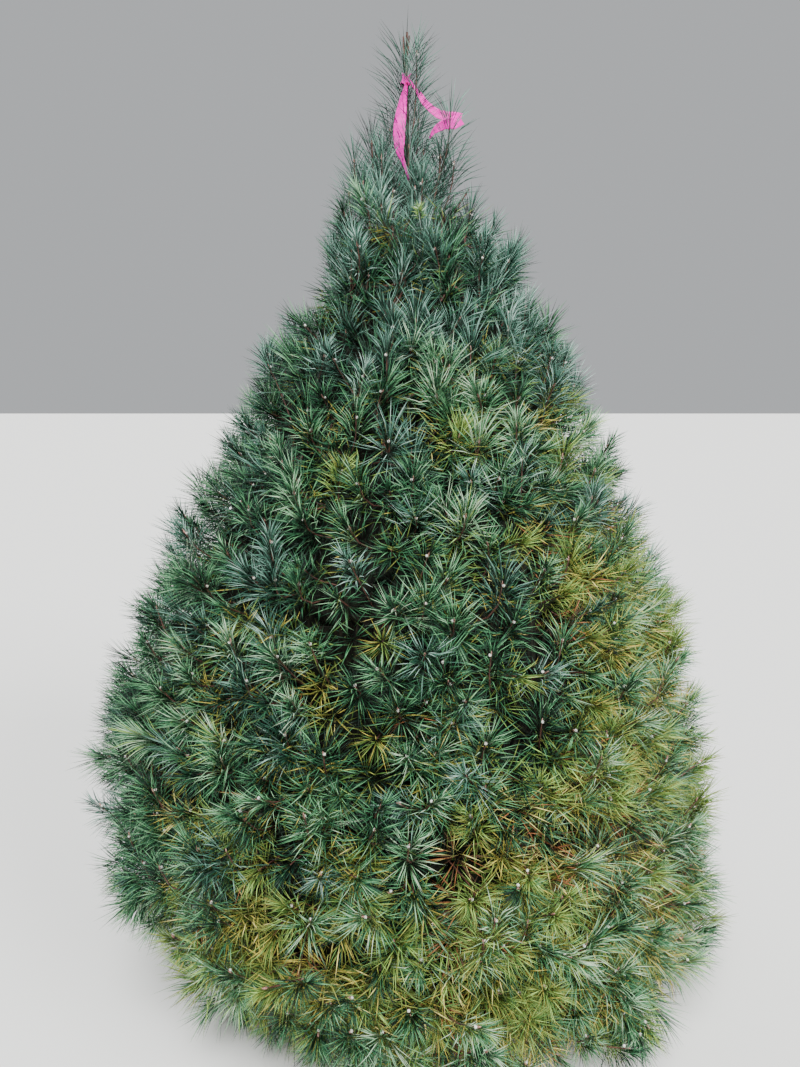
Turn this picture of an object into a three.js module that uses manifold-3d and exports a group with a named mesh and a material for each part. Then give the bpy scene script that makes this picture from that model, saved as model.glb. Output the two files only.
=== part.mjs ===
// A sheared white pine, 2.46 m tall, rooted in level ground.
// Millimetres, +Z up, +X to the viewer's right and +Y away from the viewer.
// The origin is the middle of the trunk's flat cut at ground level.
//
// The trunk runs whole from the ground to the tip of its leader. Six whorls of boughs leave it,
// and each bough ends in one mass of foliage, which keeps to its own cell of the crown.
// Two more masses stand round the leader, straight on the trunk.
import * as THREE from "three";
import { mergeVertices } from "three/addons/utils/BufferGeometryUtils.js";
import Module from "manifold-3d";

const wasm = await Module();
wasm.setup();

// The trunk: radius by height, from the root flare to the leader's tip
const TRUNK = [
  [0, 60],
  [45, 51],
  [140, 45],
  [500, 39],
  [1000, 30],
  [1500, 20],
  [1900, 11.5],
  [2200, 6.5],
  [2400, 4],
];
const TRUNK_RINGS = 20;
const TRUNK_RING_SPREAD = 1.35; // above 1 the rings lie closer together near the ground
const TRUNK_SIDES = 12;
const ROOT_LOBES = 5;
const ROOT_LOBE_SHARE = 0.14;
const ROOT_FLARE_HEIGHT = 150;
const TRUNK_SWAY = 9;
const TRUNK_SWAY_LENGTH = 1700;

// The crown: how far the needle tips stand from the trunk's axis, by height
const OUTLINE = [
  [20, 590],
  [130, 790],
  [300, 858],
  [560, 888],
  [800, 842],
  [1060, 762],
  [1300, 640],
  [1550, 515],
  [1700, 458],
  [1790, 375],
  [1850, 305],
  [1920, 325],
  [2000, 270],
  [2120, 200],
  [2250, 155],
  [2340, 105],
  [2440, 62],
  [2520, 30],
];
// How much fuller the crown is on the viewer's right than on the left, by height
const FULLER_RIGHT = [
  [20, 0.14],
  [150, 0.12],
  [300, 0.04],
  [620, -0.025],
  [1000, 0.02],
  [1400, 0.05],
  [1700, 0.1],
  [1920, 0.16],
  [2060, 0.04],
  [2470, 0],
];

// The whorls, from the ground up. Each tier's space starts at floor on the trunk
// and at rim on the outline, and ends where the next one starts.
const TIERS = [
  { name: "skirt", masses: 5, floor: 100, rim: 20 },
  { name: "lower", masses: 5, floor: 270, rim: 400 },
  { name: "middle", masses: 5, floor: 520, rim: 770 },
  { name: "upper", masses: 5, floor: 790, rim: 1130 },
  { name: "shoulder", masses: 4, floor: 1100, rim: 1480 },
  { name: "top", masses: 3, floor: 1430, rim: 1835 },
  { name: "leader", masses: 2, floor: 1850, rim: 2160, onTrunk: true },
  { name: "tip", masses: 0, floor: 2500, rim: 2555 },
];
const WHORL_TURN = THREE.MathUtils.degToRad(104);
const RISE = 1.25; // above 1 a bough leaves the trunk flatter and then turns up

// Boughs and stems
const BOUGH_END = 0.4; // share of the way from the axis to the outline
const BOUGH_ROOT_RADIUS = 14;
const BOUGH_TIP_SHARE = 0.6;
const BOUGH_SIDES = 4;
const BOUGH_STEPS = 3;
const LIMB_GAP = 0.3;
const TIP_GAP = 0.45; // from a bough's tip to its mass's stem, as their ends aren't quite parallel
const STEM_SIDES = 3;

// Masses: a core that the sprays stand out of, and how the stem's forks reach out
const CORE_START = 0.5;
const CORE_DEPTH = 120; // how deep the core lies under the outline
const CORE_LEAST_END = 0.62;
const CORE_SPREAD = 0.96; // share of the cell that the core fills sideways
const CORE_SQUARENESS = 5;
const FORK_START = 0.54;
const FORK_END = 0.74;
const TWIG_RADIUS = 5;
const CELL_MARGIN = 1.5;
const GROUND_MARGIN = 4;

// Sprays, at their size on the widest part of the crown, and smaller where it is slim
const WIDEST = 850;
const SLIMMEST_SHARE = 0.62;
const SPRAY_SPACING = 350;
const SPRAY_FITS = [1, 0.85, 0.7, 0.55]; // a spray that would leave its cell is tried smaller
const SPRAY_REACH = { least: 0.97, more: 0.05 }; // shares of the way out to the outline
const SPRAY = {
  length: 230,
  width: 115,
  teeth: 5,
  neckSides: 3,
  collar: 0.12, // where the neck ends, as the next four a share of the length
  valley: 0.42,
  heart: 0.52,
  tooth: 0.55,
  toothLean: 0.4,
  valleyWidth: 0.26,
  uneven: 0.1,
};
const CUT = { least: 0.44, more: 0.12 }; // where a patch is cut in two

const { lerp, clamp, smoothstep } = THREE.MathUtils;

const bark = new THREE.MeshStandardMaterial({ color: 0x5d4a3e, roughness: 0.9 });
const needles = new THREE.MeshStandardMaterial({ color: 0x3f6b55, roughness: 0.6 });

// A number from 0 to 1 that depends only on what it is for
function chance(id, salt) {
  const wave = Math.sin(id * 12.9898 + salt * 78.233) * 43758.5453;
  return wave - Math.floor(wave);
}

// The value at a place in a list of [place, value]
function along(points, at) {
  const last = points.length - 1;
  let i = 0;
  while (i < last - 1 && at > points[i + 1][0]) i += 1;
  const [low, start] = points[i];
  const [high, end] = points[i + 1];
  return lerp(start, end, clamp((at - low) / (high - low), 0, 1));
}

function outlineRadius(height, azimuth) {
  return along(OUTLINE, height) * (1 + along(FULLER_RIGHT, height) * Math.cos(azimuth));
}

function trunkMiddle(height) {
  return TRUNK_SWAY * Math.sin((2 * Math.PI * height) / TRUNK_SWAY_LENGTH) * (height / TRUNK_SWAY_LENGTH);
}

// A closed three.js geometry as a manifold-3d solid
function solid(geometry) {
  const bare = geometry.index ? geometry.toNonIndexed() : geometry.clone();
  bare.deleteAttribute("normal");
  bare.deleteAttribute("uv");
  const merged = mergeVertices(bare, 1e-3);
  return new wasm.Manifold(
    new wasm.Mesh({
      numProp: 3,
      vertProperties: new Float32Array(merged.attributes.position.array),
      triVerts: new Uint32Array(merged.index.array),
    }),
  );
}

function named(name, body, material) {
  const made = body.getMesh();
  const geometry = new THREE.BufferGeometry();
  geometry.setAttribute("position", new THREE.BufferAttribute(made.vertProperties, made.numProp));
  geometry.setIndex(new THREE.BufferAttribute(made.triVerts, 1));
  geometry.computeVertexNormals();
  const mesh = new THREE.Mesh(geometry, material);
  mesh.name = name;
  return mesh;
}

function largestBody(body) {
  return body.decompose().reduce((best, part) => (part.volume() > best.volume() ? part : best));
}

// The trunk is a lathed profile whose foot is pulled out into root lobes
function trunkSolid(extra = 0) {
  const top = TRUNK[TRUNK.length - 1][0] + extra;
  const profile = [new THREE.Vector2(0, 0)];
  for (let i = 0; i <= TRUNK_RINGS; i += 1) {
    const height = top * (i / TRUNK_RINGS) ** TRUNK_RING_SPREAD;
    profile.push(new THREE.Vector2(along(TRUNK, height) + extra, height));
  }
  profile.push(new THREE.Vector2(0, top));
  const lathe = new THREE.LatheGeometry(profile, TRUNK_SIDES).rotateX(Math.PI / 2);
  const place = lathe.attributes.position;
  for (let i = 0; i < place.count; i += 1) {
    const height = place.getZ(i);
    const azimuth = Math.atan2(place.getY(i), place.getX(i));
    const foot = 1 - smoothstep(height, 0, ROOT_FLARE_HEIGHT);
    const swell = 1 + ROOT_LOBE_SHARE * foot * Math.cos(ROOT_LOBES * azimuth);
    place.setXY(i, place.getX(i) * swell + trunkMiddle(height), place.getY(i) * swell);
  }
  return solid(lathe);
}

// One tapering limb along a curve
function limbSolid(curve, rootRadius, tipRadius, sides, steps) {
  const rod = new THREE.CylinderGeometry(tipRadius, rootRadius, steps, sides, steps);
  const frames = curve.computeFrenetFrames(steps);
  const place = rod.attributes.position;
  for (let i = 0; i < place.count; i += 1) {
    const step = Math.round(place.getY(i) + steps / 2);
    const point = curve
      .getPointAt(step / steps)
      .addScaledVector(frames.binormals[step], place.getX(i))
      .addScaledVector(frames.normals[step], place.getZ(i));
    place.setXYZ(i, point.x, point.y, point.z);
  }
  return solid(rod);
}

// A point of a cell: azimuth, share of the way up the cell and share of the way out
function inCell(cell, azimuth, up, out) {
  const rim = lerp(cell.rim, cell.rimTop, up);
  const floor = lerp(cell.floor, cell.floorTop, up);
  const radius = out * outlineRadius(rim, azimuth);
  const height = lerp(floor, rim, out ** RISE);
  return new THREE.Vector3(
    radius * Math.cos(azimuth) + trunkMiddle(height),
    radius * Math.sin(azimuth),
    height,
  );
}

// The height of a cell's floor or ceiling at some distance from the axis
function boundary(floor, rim, azimuth, radius) {
  return lerp(floor, rim, (radius / outlineRadius(rim, azimuth)) ** RISE);
}

function keepsTo(cell, point) {
  const x = point.x - trunkMiddle(point.z);
  const radius = Math.hypot(x, point.y);
  const middle = (cell.from + cell.to) / 2;
  const turn = Math.atan2(point.y, x) - middle;
  const off = Math.atan2(Math.sin(turn), Math.cos(turn));
  const room = (cell.to - cell.from) / 2 - Math.abs(off);
  return (
    point.z > GROUND_MARGIN &&
    radius * room > CELL_MARGIN &&
    point.z > boundary(cell.floor, cell.rim, middle + off, radius) + CELL_MARGIN &&
    point.z < boundary(cell.floorTop, cell.rimTop, middle + off, radius) - CELL_MARGIN
  );
}

// The core is a rounded block in the cell's own directions
function coreSolid(cell) {
  const ball = new THREE.IcosahedronGeometry(1, 1);
  const place = ball.attributes.position;
  for (let i = 0; i < place.count; i += 1) {
    const axes = [place.getX(i), place.getY(i), place.getZ(i)];
    const size = axes.reduce((sum, value) => sum + Math.abs(value) ** CORE_SQUARENESS, 0);
    const [out, side, up] = axes.map((value) => value / size ** (1 / CORE_SQUARENESS));
    const azimuth = lerp(cell.from, cell.to, (1 + side * CORE_SPREAD) / 2);
    const rise = (1 + up * CORE_SPREAD) / 2;
    const reach = outlineRadius(lerp(cell.rim, cell.rimTop, rise), azimuth);
    const end = Math.max(CORE_LEAST_END, 1 - (CORE_DEPTH * cell.share) / reach);
    const point = inCell(cell, azimuth, rise, lerp(CORE_START, end, (1 + out) / 2));
    place.setXYZ(i, point.x, point.y, point.z);
  }
  return solid(ball);
}

// A spray is a three-sided twig that opens into a ring of tapering needle points.
// Returns null if it would leave the cell.
function spraySolid(cell, foot, tip, size, id) {
  const axis = tip.clone().sub(foot);
  const length = axis.length();
  axis.normalize();
  const side = new THREE.Vector3(0, 0, 1).cross(axis).normalize();
  const over = axis.clone().cross(side);
  const at = (radius, angle, height) =>
    foot
      .clone()
      .addScaledVector(axis, height)
      .addScaledVector(side, radius * Math.cos(angle))
      .addScaledVector(over, radius * Math.sin(angle));

  const head = Math.min(SPRAY.length, length) * size; // the part that carries needle points
  const width = SPRAY.width * size;
  const neck = length - head;
  const sides = SPRAY.neckSides;
  const ring = 2 * SPRAY.teeth;
  const points = [];
  for (const height of [0, neck + SPRAY.collar * head]) {
    for (let i = 0; i < sides; i += 1) points.push(at(TWIG_RADIUS, (2 * Math.PI * i) / sides, height));
  }
  for (let i = 0; i < ring; i += 1) {
    const angle = (2 * Math.PI * i) / ring;
    const reach = 1 + SPRAY.uneven * (2 * chance(id, i) - 1);
    const valley = at(SPRAY.valleyWidth * width, angle, neck + SPRAY.valley * head);
    const tooth = at(width * reach, angle, neck + (SPRAY.tooth + SPRAY.toothLean * reach) * head);
    points.push(i % 2 ? valley : tooth);
  }
  points.push(at(0, 0, neck + SPRAY.heart * head));
  if (!points.slice(sides).every((point) => keepsTo(cell, point))) return null;

  const faces = [[0, 2, 1]];
  for (let i = 0; i < sides; i += 1) {
    const next = (i + 1) % sides;
    faces.push([i, next, sides + next], [i, sides + next, sides + i]);
  }
  const first = 2 * sides;
  const heart = first + ring;
  const collar = (i) => sides + Math.floor((i * sides) / ring);
  for (let i = 0; i < ring; i += 1) {
    const here = first + i;
    const next = first + ((i + 1) % ring);
    const turned = collar((i + 1) % ring);
    faces.push([collar(i), next, here], [here, next, heart]);
    if (turned !== collar(i)) faces.push([collar(i), turned, next]);
  }
  const geometry = new THREE.BufferGeometry().setFromPoints(points);
  geometry.setIndex(faces.flat());
  return solid(geometry);
}

// The growth rule: a limb grows towards the middle of a patch of the outline. The patch is cut in
// two across its longer side and the rule is repeated, until a patch is so small that it gets one
// spray instead of a limb.
function grow(cell, patch, from, out, id, made) {
  const middle = (patch.from + patch.to) / 2;
  const level = (patch.low + patch.high) / 2;
  const rim = lerp(cell.rim, cell.rimTop, level);
  const wide = (patch.to - patch.from) * outlineRadius(rim, middle);
  const tall = inCell(cell, middle, patch.low, 1).distanceTo(inCell(cell, middle, patch.high, 1));
  if (Math.max(wide, tall) < SPRAY_SPACING * cell.share) {
    const tip = inCell(cell, middle, level, SPRAY_REACH.least + SPRAY_REACH.more * chance(id, 3));
    for (const fit of SPRAY_FITS) {
      const spray = spraySolid(cell, from, tip, cell.share * fit, id);
      if (spray) {
        made.push(spray);
        return;
      }
    }
    return;
  }
  const next = lerp(out, FORK_END, 0.5);
  const fork = inCell(cell, middle, level, next);
  made.push(limbSolid(new THREE.LineCurve3(from, fork), TWIG_RADIUS, TWIG_RADIUS, STEM_SIDES, 1));
  const cut = CUT.least + CUT.more * chance(id, 1);
  const azimuth = lerp(patch.from, patch.to, cut);
  const height = lerp(patch.low, patch.high, cut);
  const halves =
    wide > tall
      ? [{ ...patch, to: azimuth }, { ...patch, from: azimuth }]
      : [{ ...patch, high: height }, { ...patch, low: height }];
  halves.forEach((half, k) => grow(cell, half, fork, next, id * 2 + k, made));
}

// The middle line of a cell, between two shares of the way out
function stretch(cell, start, end) {
  const middle = (cell.from + cell.to) / 2;
  const points = [];
  for (let i = 0; i <= BOUGH_STEPS; i += 1) {
    points.push(inCell(cell, middle, 0.5, lerp(start, end, i / BOUGH_STEPS)));
  }
  return new THREE.CatmullRomCurve3(points);
}

// The space of each mass, whorl by whorl
function cells() {
  const found = [];
  TIERS.slice(0, -1).forEach((tier, t) => {
    const above = TIERS[t + 1];
    for (let i = 0; i < tier.masses; i += 1) {
      const width = (2 * Math.PI) / tier.masses;
      const from = t * WHORL_TURN + i * width;
      const reach = outlineRadius((tier.rim + above.rim) / 2, from + width / 2);
      found.push({
        ...tier,
        number: i + 1,
        id: 100 * (t + 1) + 10 * (i + 1),
        from,
        to: from + width,
        floorTop: above.floor,
        rimTop: above.rim,
        share: clamp(Math.sqrt(reach / WIDEST), SLIMMEST_SHARE, 1),
      });
    }
  });
  return found;
}

const tree = new THREE.Group();
const grownTrunk = trunkSolid(LIMB_GAP);
tree.add(named("trunk", trunkSolid(), bark));

for (const cell of cells()) {
  const middle = (cell.from + cell.to) / 2;
  const root = BOUGH_ROOT_RADIUS * cell.share;
  const tip = root * BOUGH_TIP_SHARE;
  const made = [];
  let stemStart = 0;
  if (!cell.onTrunk) {
    const bough = limbSolid(stretch(cell, 0, BOUGH_END), root, tip, BOUGH_SIDES, BOUGH_STEPS);
    tree.add(named(`${cell.name}_bough_${cell.number}`, largestBody(bough.subtract(grownTrunk)), bark));
    made.push(coreSolid(cell));
    stemStart = BOUGH_END + TIP_GAP / outlineRadius((cell.rim + cell.rimTop) / 2, middle);
  }
  const stem = stretch(cell, stemStart, FORK_START);
  made.push(limbSolid(stem, tip, TWIG_RADIUS, BOUGH_SIDES, BOUGH_STEPS));
  const whole = { from: cell.from, to: cell.to, low: 0, high: 1 };
  grow(cell, whole, stem.getPointAt(1), FORK_START, cell.id, made);
  const joined = made.reduce((sum, part) => sum.add(part)).subtract(grownTrunk);
  tree.add(named(`${cell.name}_foliage_${cell.number}`, largestBody(joined), needles));
}

export default tree;
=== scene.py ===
"""A sheared white pine, 2.46 m tall, rooted in level ground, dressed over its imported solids.

Metres, +Z up, +X to the viewer's right and +Y away from the viewer.
The origin is the middle of the trunk's flat cut at ground level.

The limbs grow by the rule of the part's source, written again here and carried on to finer twigs. The
finest twigs end in shoots, and needles stand round each shoot.
"""

import functools
import math
from collections import namedtuple

import bpy
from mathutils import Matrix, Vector, kdtree, noise


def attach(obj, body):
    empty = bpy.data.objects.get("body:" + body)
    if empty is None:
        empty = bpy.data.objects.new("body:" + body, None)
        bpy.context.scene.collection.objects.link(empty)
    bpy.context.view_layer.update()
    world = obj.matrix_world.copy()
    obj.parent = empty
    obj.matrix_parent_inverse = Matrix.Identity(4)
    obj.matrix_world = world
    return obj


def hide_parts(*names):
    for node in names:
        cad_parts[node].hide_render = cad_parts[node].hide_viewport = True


bl_info = {
    "name": "Sheared White Pine",
    "version": (1, 0, 0),
    "blender": (4, 5, 0),
    "location": "View3D > Sidebar > Pine",
    "description": "Bark, twigs, needles, buds and marker tape of a sheared white pine",
    "category": "Object",
}

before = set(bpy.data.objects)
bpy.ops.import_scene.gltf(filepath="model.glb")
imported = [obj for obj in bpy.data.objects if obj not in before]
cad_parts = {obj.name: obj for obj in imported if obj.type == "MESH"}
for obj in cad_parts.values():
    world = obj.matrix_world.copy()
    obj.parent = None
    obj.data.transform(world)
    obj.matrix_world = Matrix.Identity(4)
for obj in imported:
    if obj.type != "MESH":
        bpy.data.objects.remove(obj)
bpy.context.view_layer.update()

# The trunk, as in the part's source: radius by height
TRUNK = [
    (0, 0.060), (0.045, 0.051), (0.14, 0.045), (0.5, 0.039), (1.0, 0.030),
    (1.5, 0.020), (1.9, 0.0115), (2.2, 0.0065), (2.4, 0.004),
]
ROOT_LOBES = 5
ROOT_LOBE_SHARE = 0.14
ROOT_FLARE_HEIGHT = 0.15
TRUNK_SWAY = 0.009
TRUNK_SWAY_LENGTH = 1.7

# The crown: how far the needle tips stand from the trunk's axis, by height. The lowest three rows are
# a little wider than in the source
OUTLINE = [
    (0.02, 0.625), (0.13, 0.805), (0.3, 0.870), (0.56, 0.888), (0.8, 0.842), (1.06, 0.762),
    (1.3, 0.640), (1.55, 0.515), (1.7, 0.458), (1.79, 0.375), (1.85, 0.305), (1.92, 0.325),
    (2.0, 0.270), (2.12, 0.200), (2.25, 0.155), (2.34, 0.105), (2.44, 0.062), (2.52, 0.030),
]
# How much fuller the crown is on the viewer's right, by height
FULLER_RIGHT = [
    (0.02, 0.13), (0.15, 0.14), (0.3, 0.03), (0.62, -0.025), (1.0, 0.02),
    (1.4, 0.05), (1.7, 0.1), (1.92, 0.16), (2.06, 0.04), (2.47, 0),
]
SLOPE_STEP = 0.05
SLOPE_LEAST = -0.9
SLOPE_MOST = 0.6

# The whorls, as in the source: masses in each, and where its space starts on trunk and outline
Tier = namedtuple("Tier", "name masses floor rim")
TIERS = [
    Tier("skirt", 5, 0.10, 0.02),
    Tier("lower", 5, 0.27, 0.40),
    Tier("middle", 5, 0.52, 0.77),
    Tier("upper", 5, 0.79, 1.13),
    Tier("shoulder", 4, 1.10, 1.48),
    Tier("top", 3, 1.43, 1.835),
    Tier("leader", 2, 1.85, 2.16),
    Tier("tip", 0, 2.50, 2.555),
]
WHORL_TURN = math.radians(104)
RISE = 1.25  # above 1 a bough leaves the trunk flatter and then turns up

# Boughs and forks, as in the source
BOUGH_END = 0.4  # share of the way from the axis to the outline
BOUGH_ROOT_RADIUS = 0.014
BOUGH_TIP_SHARE = 0.6
FORK_START = 0.54
FORK_END = 0.74
TWIG_RADIUS = 0.005
WIDEST = 0.85
SLIMMEST_SHARE = 0.62
CUT_LEAST = 0.44  # where a patch is cut in two
CUT_MORE = 0.12

# Finer limbs
BOUGH_STEPS = 14
STEM_STEPS = 6
LIMB_RADIUS = [(0.1, 0.0021), (0.35, 0.0038), (0.7, 0.005)]  # by the size of the patch it feeds
PATCH_BEFORE = 1.5  # how much larger the patch was that a limb comes from
LIMB_WANDER = 0.1  # of its length
LIMB_SAG = 0.4  # share of that wander by which every limb sags
FORK_WANDER = 0.28  # how far a fork stands off the middle of its patch, as a share of the patch
YOUNG_WOOD = 1.55  # height above which limbs still carry needles
YOUNG_PATCH = 3  # shoot spacings in the largest patch whose limb still carries them
LIMB_NEEDLES = 2  # times as many as on an inner twig
LIMB_STEPS = 3

# Shoots
SHOOT_FOOT_RADIUS = 0.0020
SHOOT_TIP_RADIUS = 0.0016
HEADING = [(0.0, 0), (0.2, 36), (0.45, 54), (1.0, 60), (1.5, 68), (1.9, 76), (2.3, 84)]  # degrees up
HEADING_SPREAD = 32  # degrees either way
AZIMUTH_SPREAD = 58
SHOOT_REACH_LEAST = 0.94  # share of the way out to the outline that the needle tips get
SHOOT_REACH_MORE = 0.08
SHOOT_WANDER = 0.4  # how far a shoot stands off the middle of its patch, as a share of the patch
SHOOT_BEND = 0.55  # how far behind its tip a shoot turns to its heading, as a share of its reach
HIGHEST_SHOOT = 2.055  # above it only the leader's own shoots stand
BULGE = 0.042  # how far whole boughs stand out or back
BULGES_PER_METRE = 4.2
SEAM_SWING = 0.22  # radians that shoots stand off their patch, all in step, so that no border shows
SEAM_SWINGS_PER_METRE = 3.4
SHOOT_STEPS = 4
NEEDLED_LENGTH = 0.065  # the end of a shoot that carries needles
NEEDLED_STEPS = 5
NEEDLE_LENGTH_SPREAD = 0.24
NEEDLE_COUNT_SPREAD = 0.15
BUD_SIZE_SPREAD = 0.25
FOOT_OPENING = math.radians(66)
TIP_OPENING = math.radians(14)
# How far needles reach out past the tip of a shoot, as a share of their length, by height
NEEDLE_LEAD = [(0.05, 0.35), (0.3, 0.6), (0.8, 0.75), (2.0, 0.85)]

# Weak shoots and older needles inside the crown
SIDE_SHOOT_REACH = 0.97
SIDE_SHOOT_DEPTH_LEAST = 0.1
SIDE_SHOOT_DEPTH_MOST = 0.15
SIDE_SHOOT_BEND = 0.5
SIDE_NEEDLED_LENGTH = 0.1
SIDE_NEEDLED_STEPS = 3
TURNED_STANDS_OUT = 0.4  # share of its depth that a yellowing weak shoot loses
OLD_WOOD_LEAST = 0.1  # share of a shoot's way that has to be free for older needles
OLD_WOOD_START = 0.5  # how far behind its needled end they start, as a share of its way
OLD_WOOD_STEPS = 3  # the older needles stand on the first
OLD_NEEDLES_GREEN = 0.7  # share of an inner twig's needles on a green shoot
OLD_NEEDLES_MORE = 1.5  # how much that share grows where all needles have turned
INNER_LENGTH_SPREAD = 0.15
INNER_COUNT_SPREAD = 0.2
INNER_FOOT_OPENINGS = (68, 105)  # degrees
INNER_TIP_OPENING = math.radians(48)

# Where the inner needles have turned yellow
# The same field paints light and shade: paler outer tints on that side, deeper ones away from it
OLD_SHARE = [(0.0, 1.9), (0.25, 1.3), (0.5, 1.05), (0.9, 0.95), (1.3, 0.52), (1.8, 0.08)]  # by height
# The side where needles turn most, and the side that the outer tints paint as lit
OLDEST_AND_LIT_SIDE = math.radians(-25)  # azimuth
TURNED_ALL_ROUND = 0.52
TURNED_ON_OLDEST_SIDE = 0.46
TURNED_IN_PATCHES = 0.5
PATCHIER_ON_OLDEST_SIDE = 0.1
PATCHES_PER_METRE = 2.2
PATCH_SHIFT = Vector((0, 0, 1.85))  # brings the patches to the places they have in the photograph
TURNED_WHOLLY = 0.6  # share of sprays that are gold or rust, and not yellow-green, where all have turned

# Hollows that weak shoots fill
HOLLOW_TRIALS = 90  # places tried in each cell
HOLLOW_RADIUS = 0.069  # how far the nearest shoot's tip is from the middle of a hollow
HOLLOW_LEVEL = 0.065  # depth at which the hollows are looked for
HOLLOW_SHOOT_DEPTH = 0.1  # depth at which the shoot that fills one ends
HOLLOW_SHOOT_ROOT = 0.01  # how far under the inner growth's surface that shoot starts
HOLLOW_SHOOT_NEEDLED = (0.4, 0.6, 0.8, 1)  # shares of its way at which needles stand
HOLLOW_SHOOT_NEEDLES = 0.7  # of an outer shoot's

# Tints of needles in such an order that any two neighbours are found in one spray
TINTS = (
    "frost mist teal slate night shade deep middle soft pale wax fresh leaf fern moss "
    "olive gold straw rust umber"
).split()
LIVE_TINTS = TINTS[: TINTS.index("olive")]
BLUISH = [(0.3, 0.12), (1.2, 0.4), (1.6, 0.9), (2.0, 2.5)]  # blue shoots for each green one, by height
# Extra blue shoots on the side away from the light: painted shade, as shade lit by the sky
BLUISH_FAR_SIDE = 0.3
# By the height of a whorl: how far its needles hang, and how many tints paler they may be than their spray
DROOP = [(0.0, 0.16), (0.8, 0.08), (2.0, 0.0)]
# Paler needles are partly real wax lines and partly painted highlight
PALER = [(1.5, 2.2), (2.16, 0.9)]
# Needles shifted darker paint the shade between needles: painted shade
DARKER = 2.3  # tints
INNER_DROOP = 0.12
INNER_DARKER = 1.5
INNER_PALER = 1.6
# How far single needles differ: radians round the shoot, and shares of their opening and length
TURN_WANDER = (-0.7, 0.7)
LEAN_SHARES = (0.74, 1.26)
LENGTH_SHARES = (0.8, 1.08)
NEEDLE_SEED = 7
GOLDEN_TURN = math.pi * (3 - math.sqrt(5))
MARGIN_ABOVE_GROUND = 0.004

# Winter buds and beads of resin
RESIN_SHARE = 0.75
RESIN_LOWEST = (-1.2, -1.2, 0.2)  # where a bead sits off the bud's foot, in its own radii, from and to
RESIN_HIGHEST = (1.2, 1.2, 1.4)
RESIN_SEED = 5
BUD_RINGS = [(0.0, 0.10), (0.25, 0.19), (0.65, 0.13)]  # height and radius as shares of its length
BUD_SIDES = 5

# The trunk's skin
TRUNK_RINGS = 110
TRUNK_SIDES = 36
RINGS_CLOSER_BELOW = 1.35  # above 1 the rings stand closer towards the ground
PLATES_ROUND = 5.5  # radius, in plates, of the circle round the trunk that the noise is read on
PLATES_PER_METRE = 26
PLATE_SHARPNESS = 2.4
PLATES_FADE = [(0.24, 1), (1.712, 0.08)]  # share of their relief that is left, by height
SWELLING = 0.35  # at each bough, as a share of the trunk's radius
SWELLING_WIDTH = 0.022
SWELLING_REACH = 0.08
BOUGH_SIDES = 8
BOUGH_GRAIN = 0.0009
BOUGH_GRAIN_ROUND = 3
BOUGH_GRAINS_PER_METRE = 40
TWIG_SIDES = 4

# The shaded inside of the crown: a dark skin whose near-black colour is painted shade
CORE_FOOT = 0.13
CORE_TOP = 1.88
CORE_DEPTH = 0.215
CORE_DEEPEST_SHARE = 0.6
CORE_RINGS = 58
CORE_SIDES = 84
CORE_UNEVEN = 0.07
CORE_WAVES_ROUND = 4
CORE_WAVES_PER_METRE = 6
TUFT_LENGTHS = (0.03, 0.09)

# Patterns, by the size of their features in millimetres
TWIG_PATCH = 16.7
TWIG_PORE = 2.38  # drawn coarser than the real 0.5 mm, so that the pores show
TRUNK_PLATE = 14.3
TRUNK_DUST = 22.2
BUD_SCALE = 2.63
RESIN_CLOUD = 3.33
TAPE_MARK = 6.25  # drawn coarser than the real 1 mm, so that the stretch marks show
STREAK = 5.26
CORE_PATCH = 143

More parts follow.
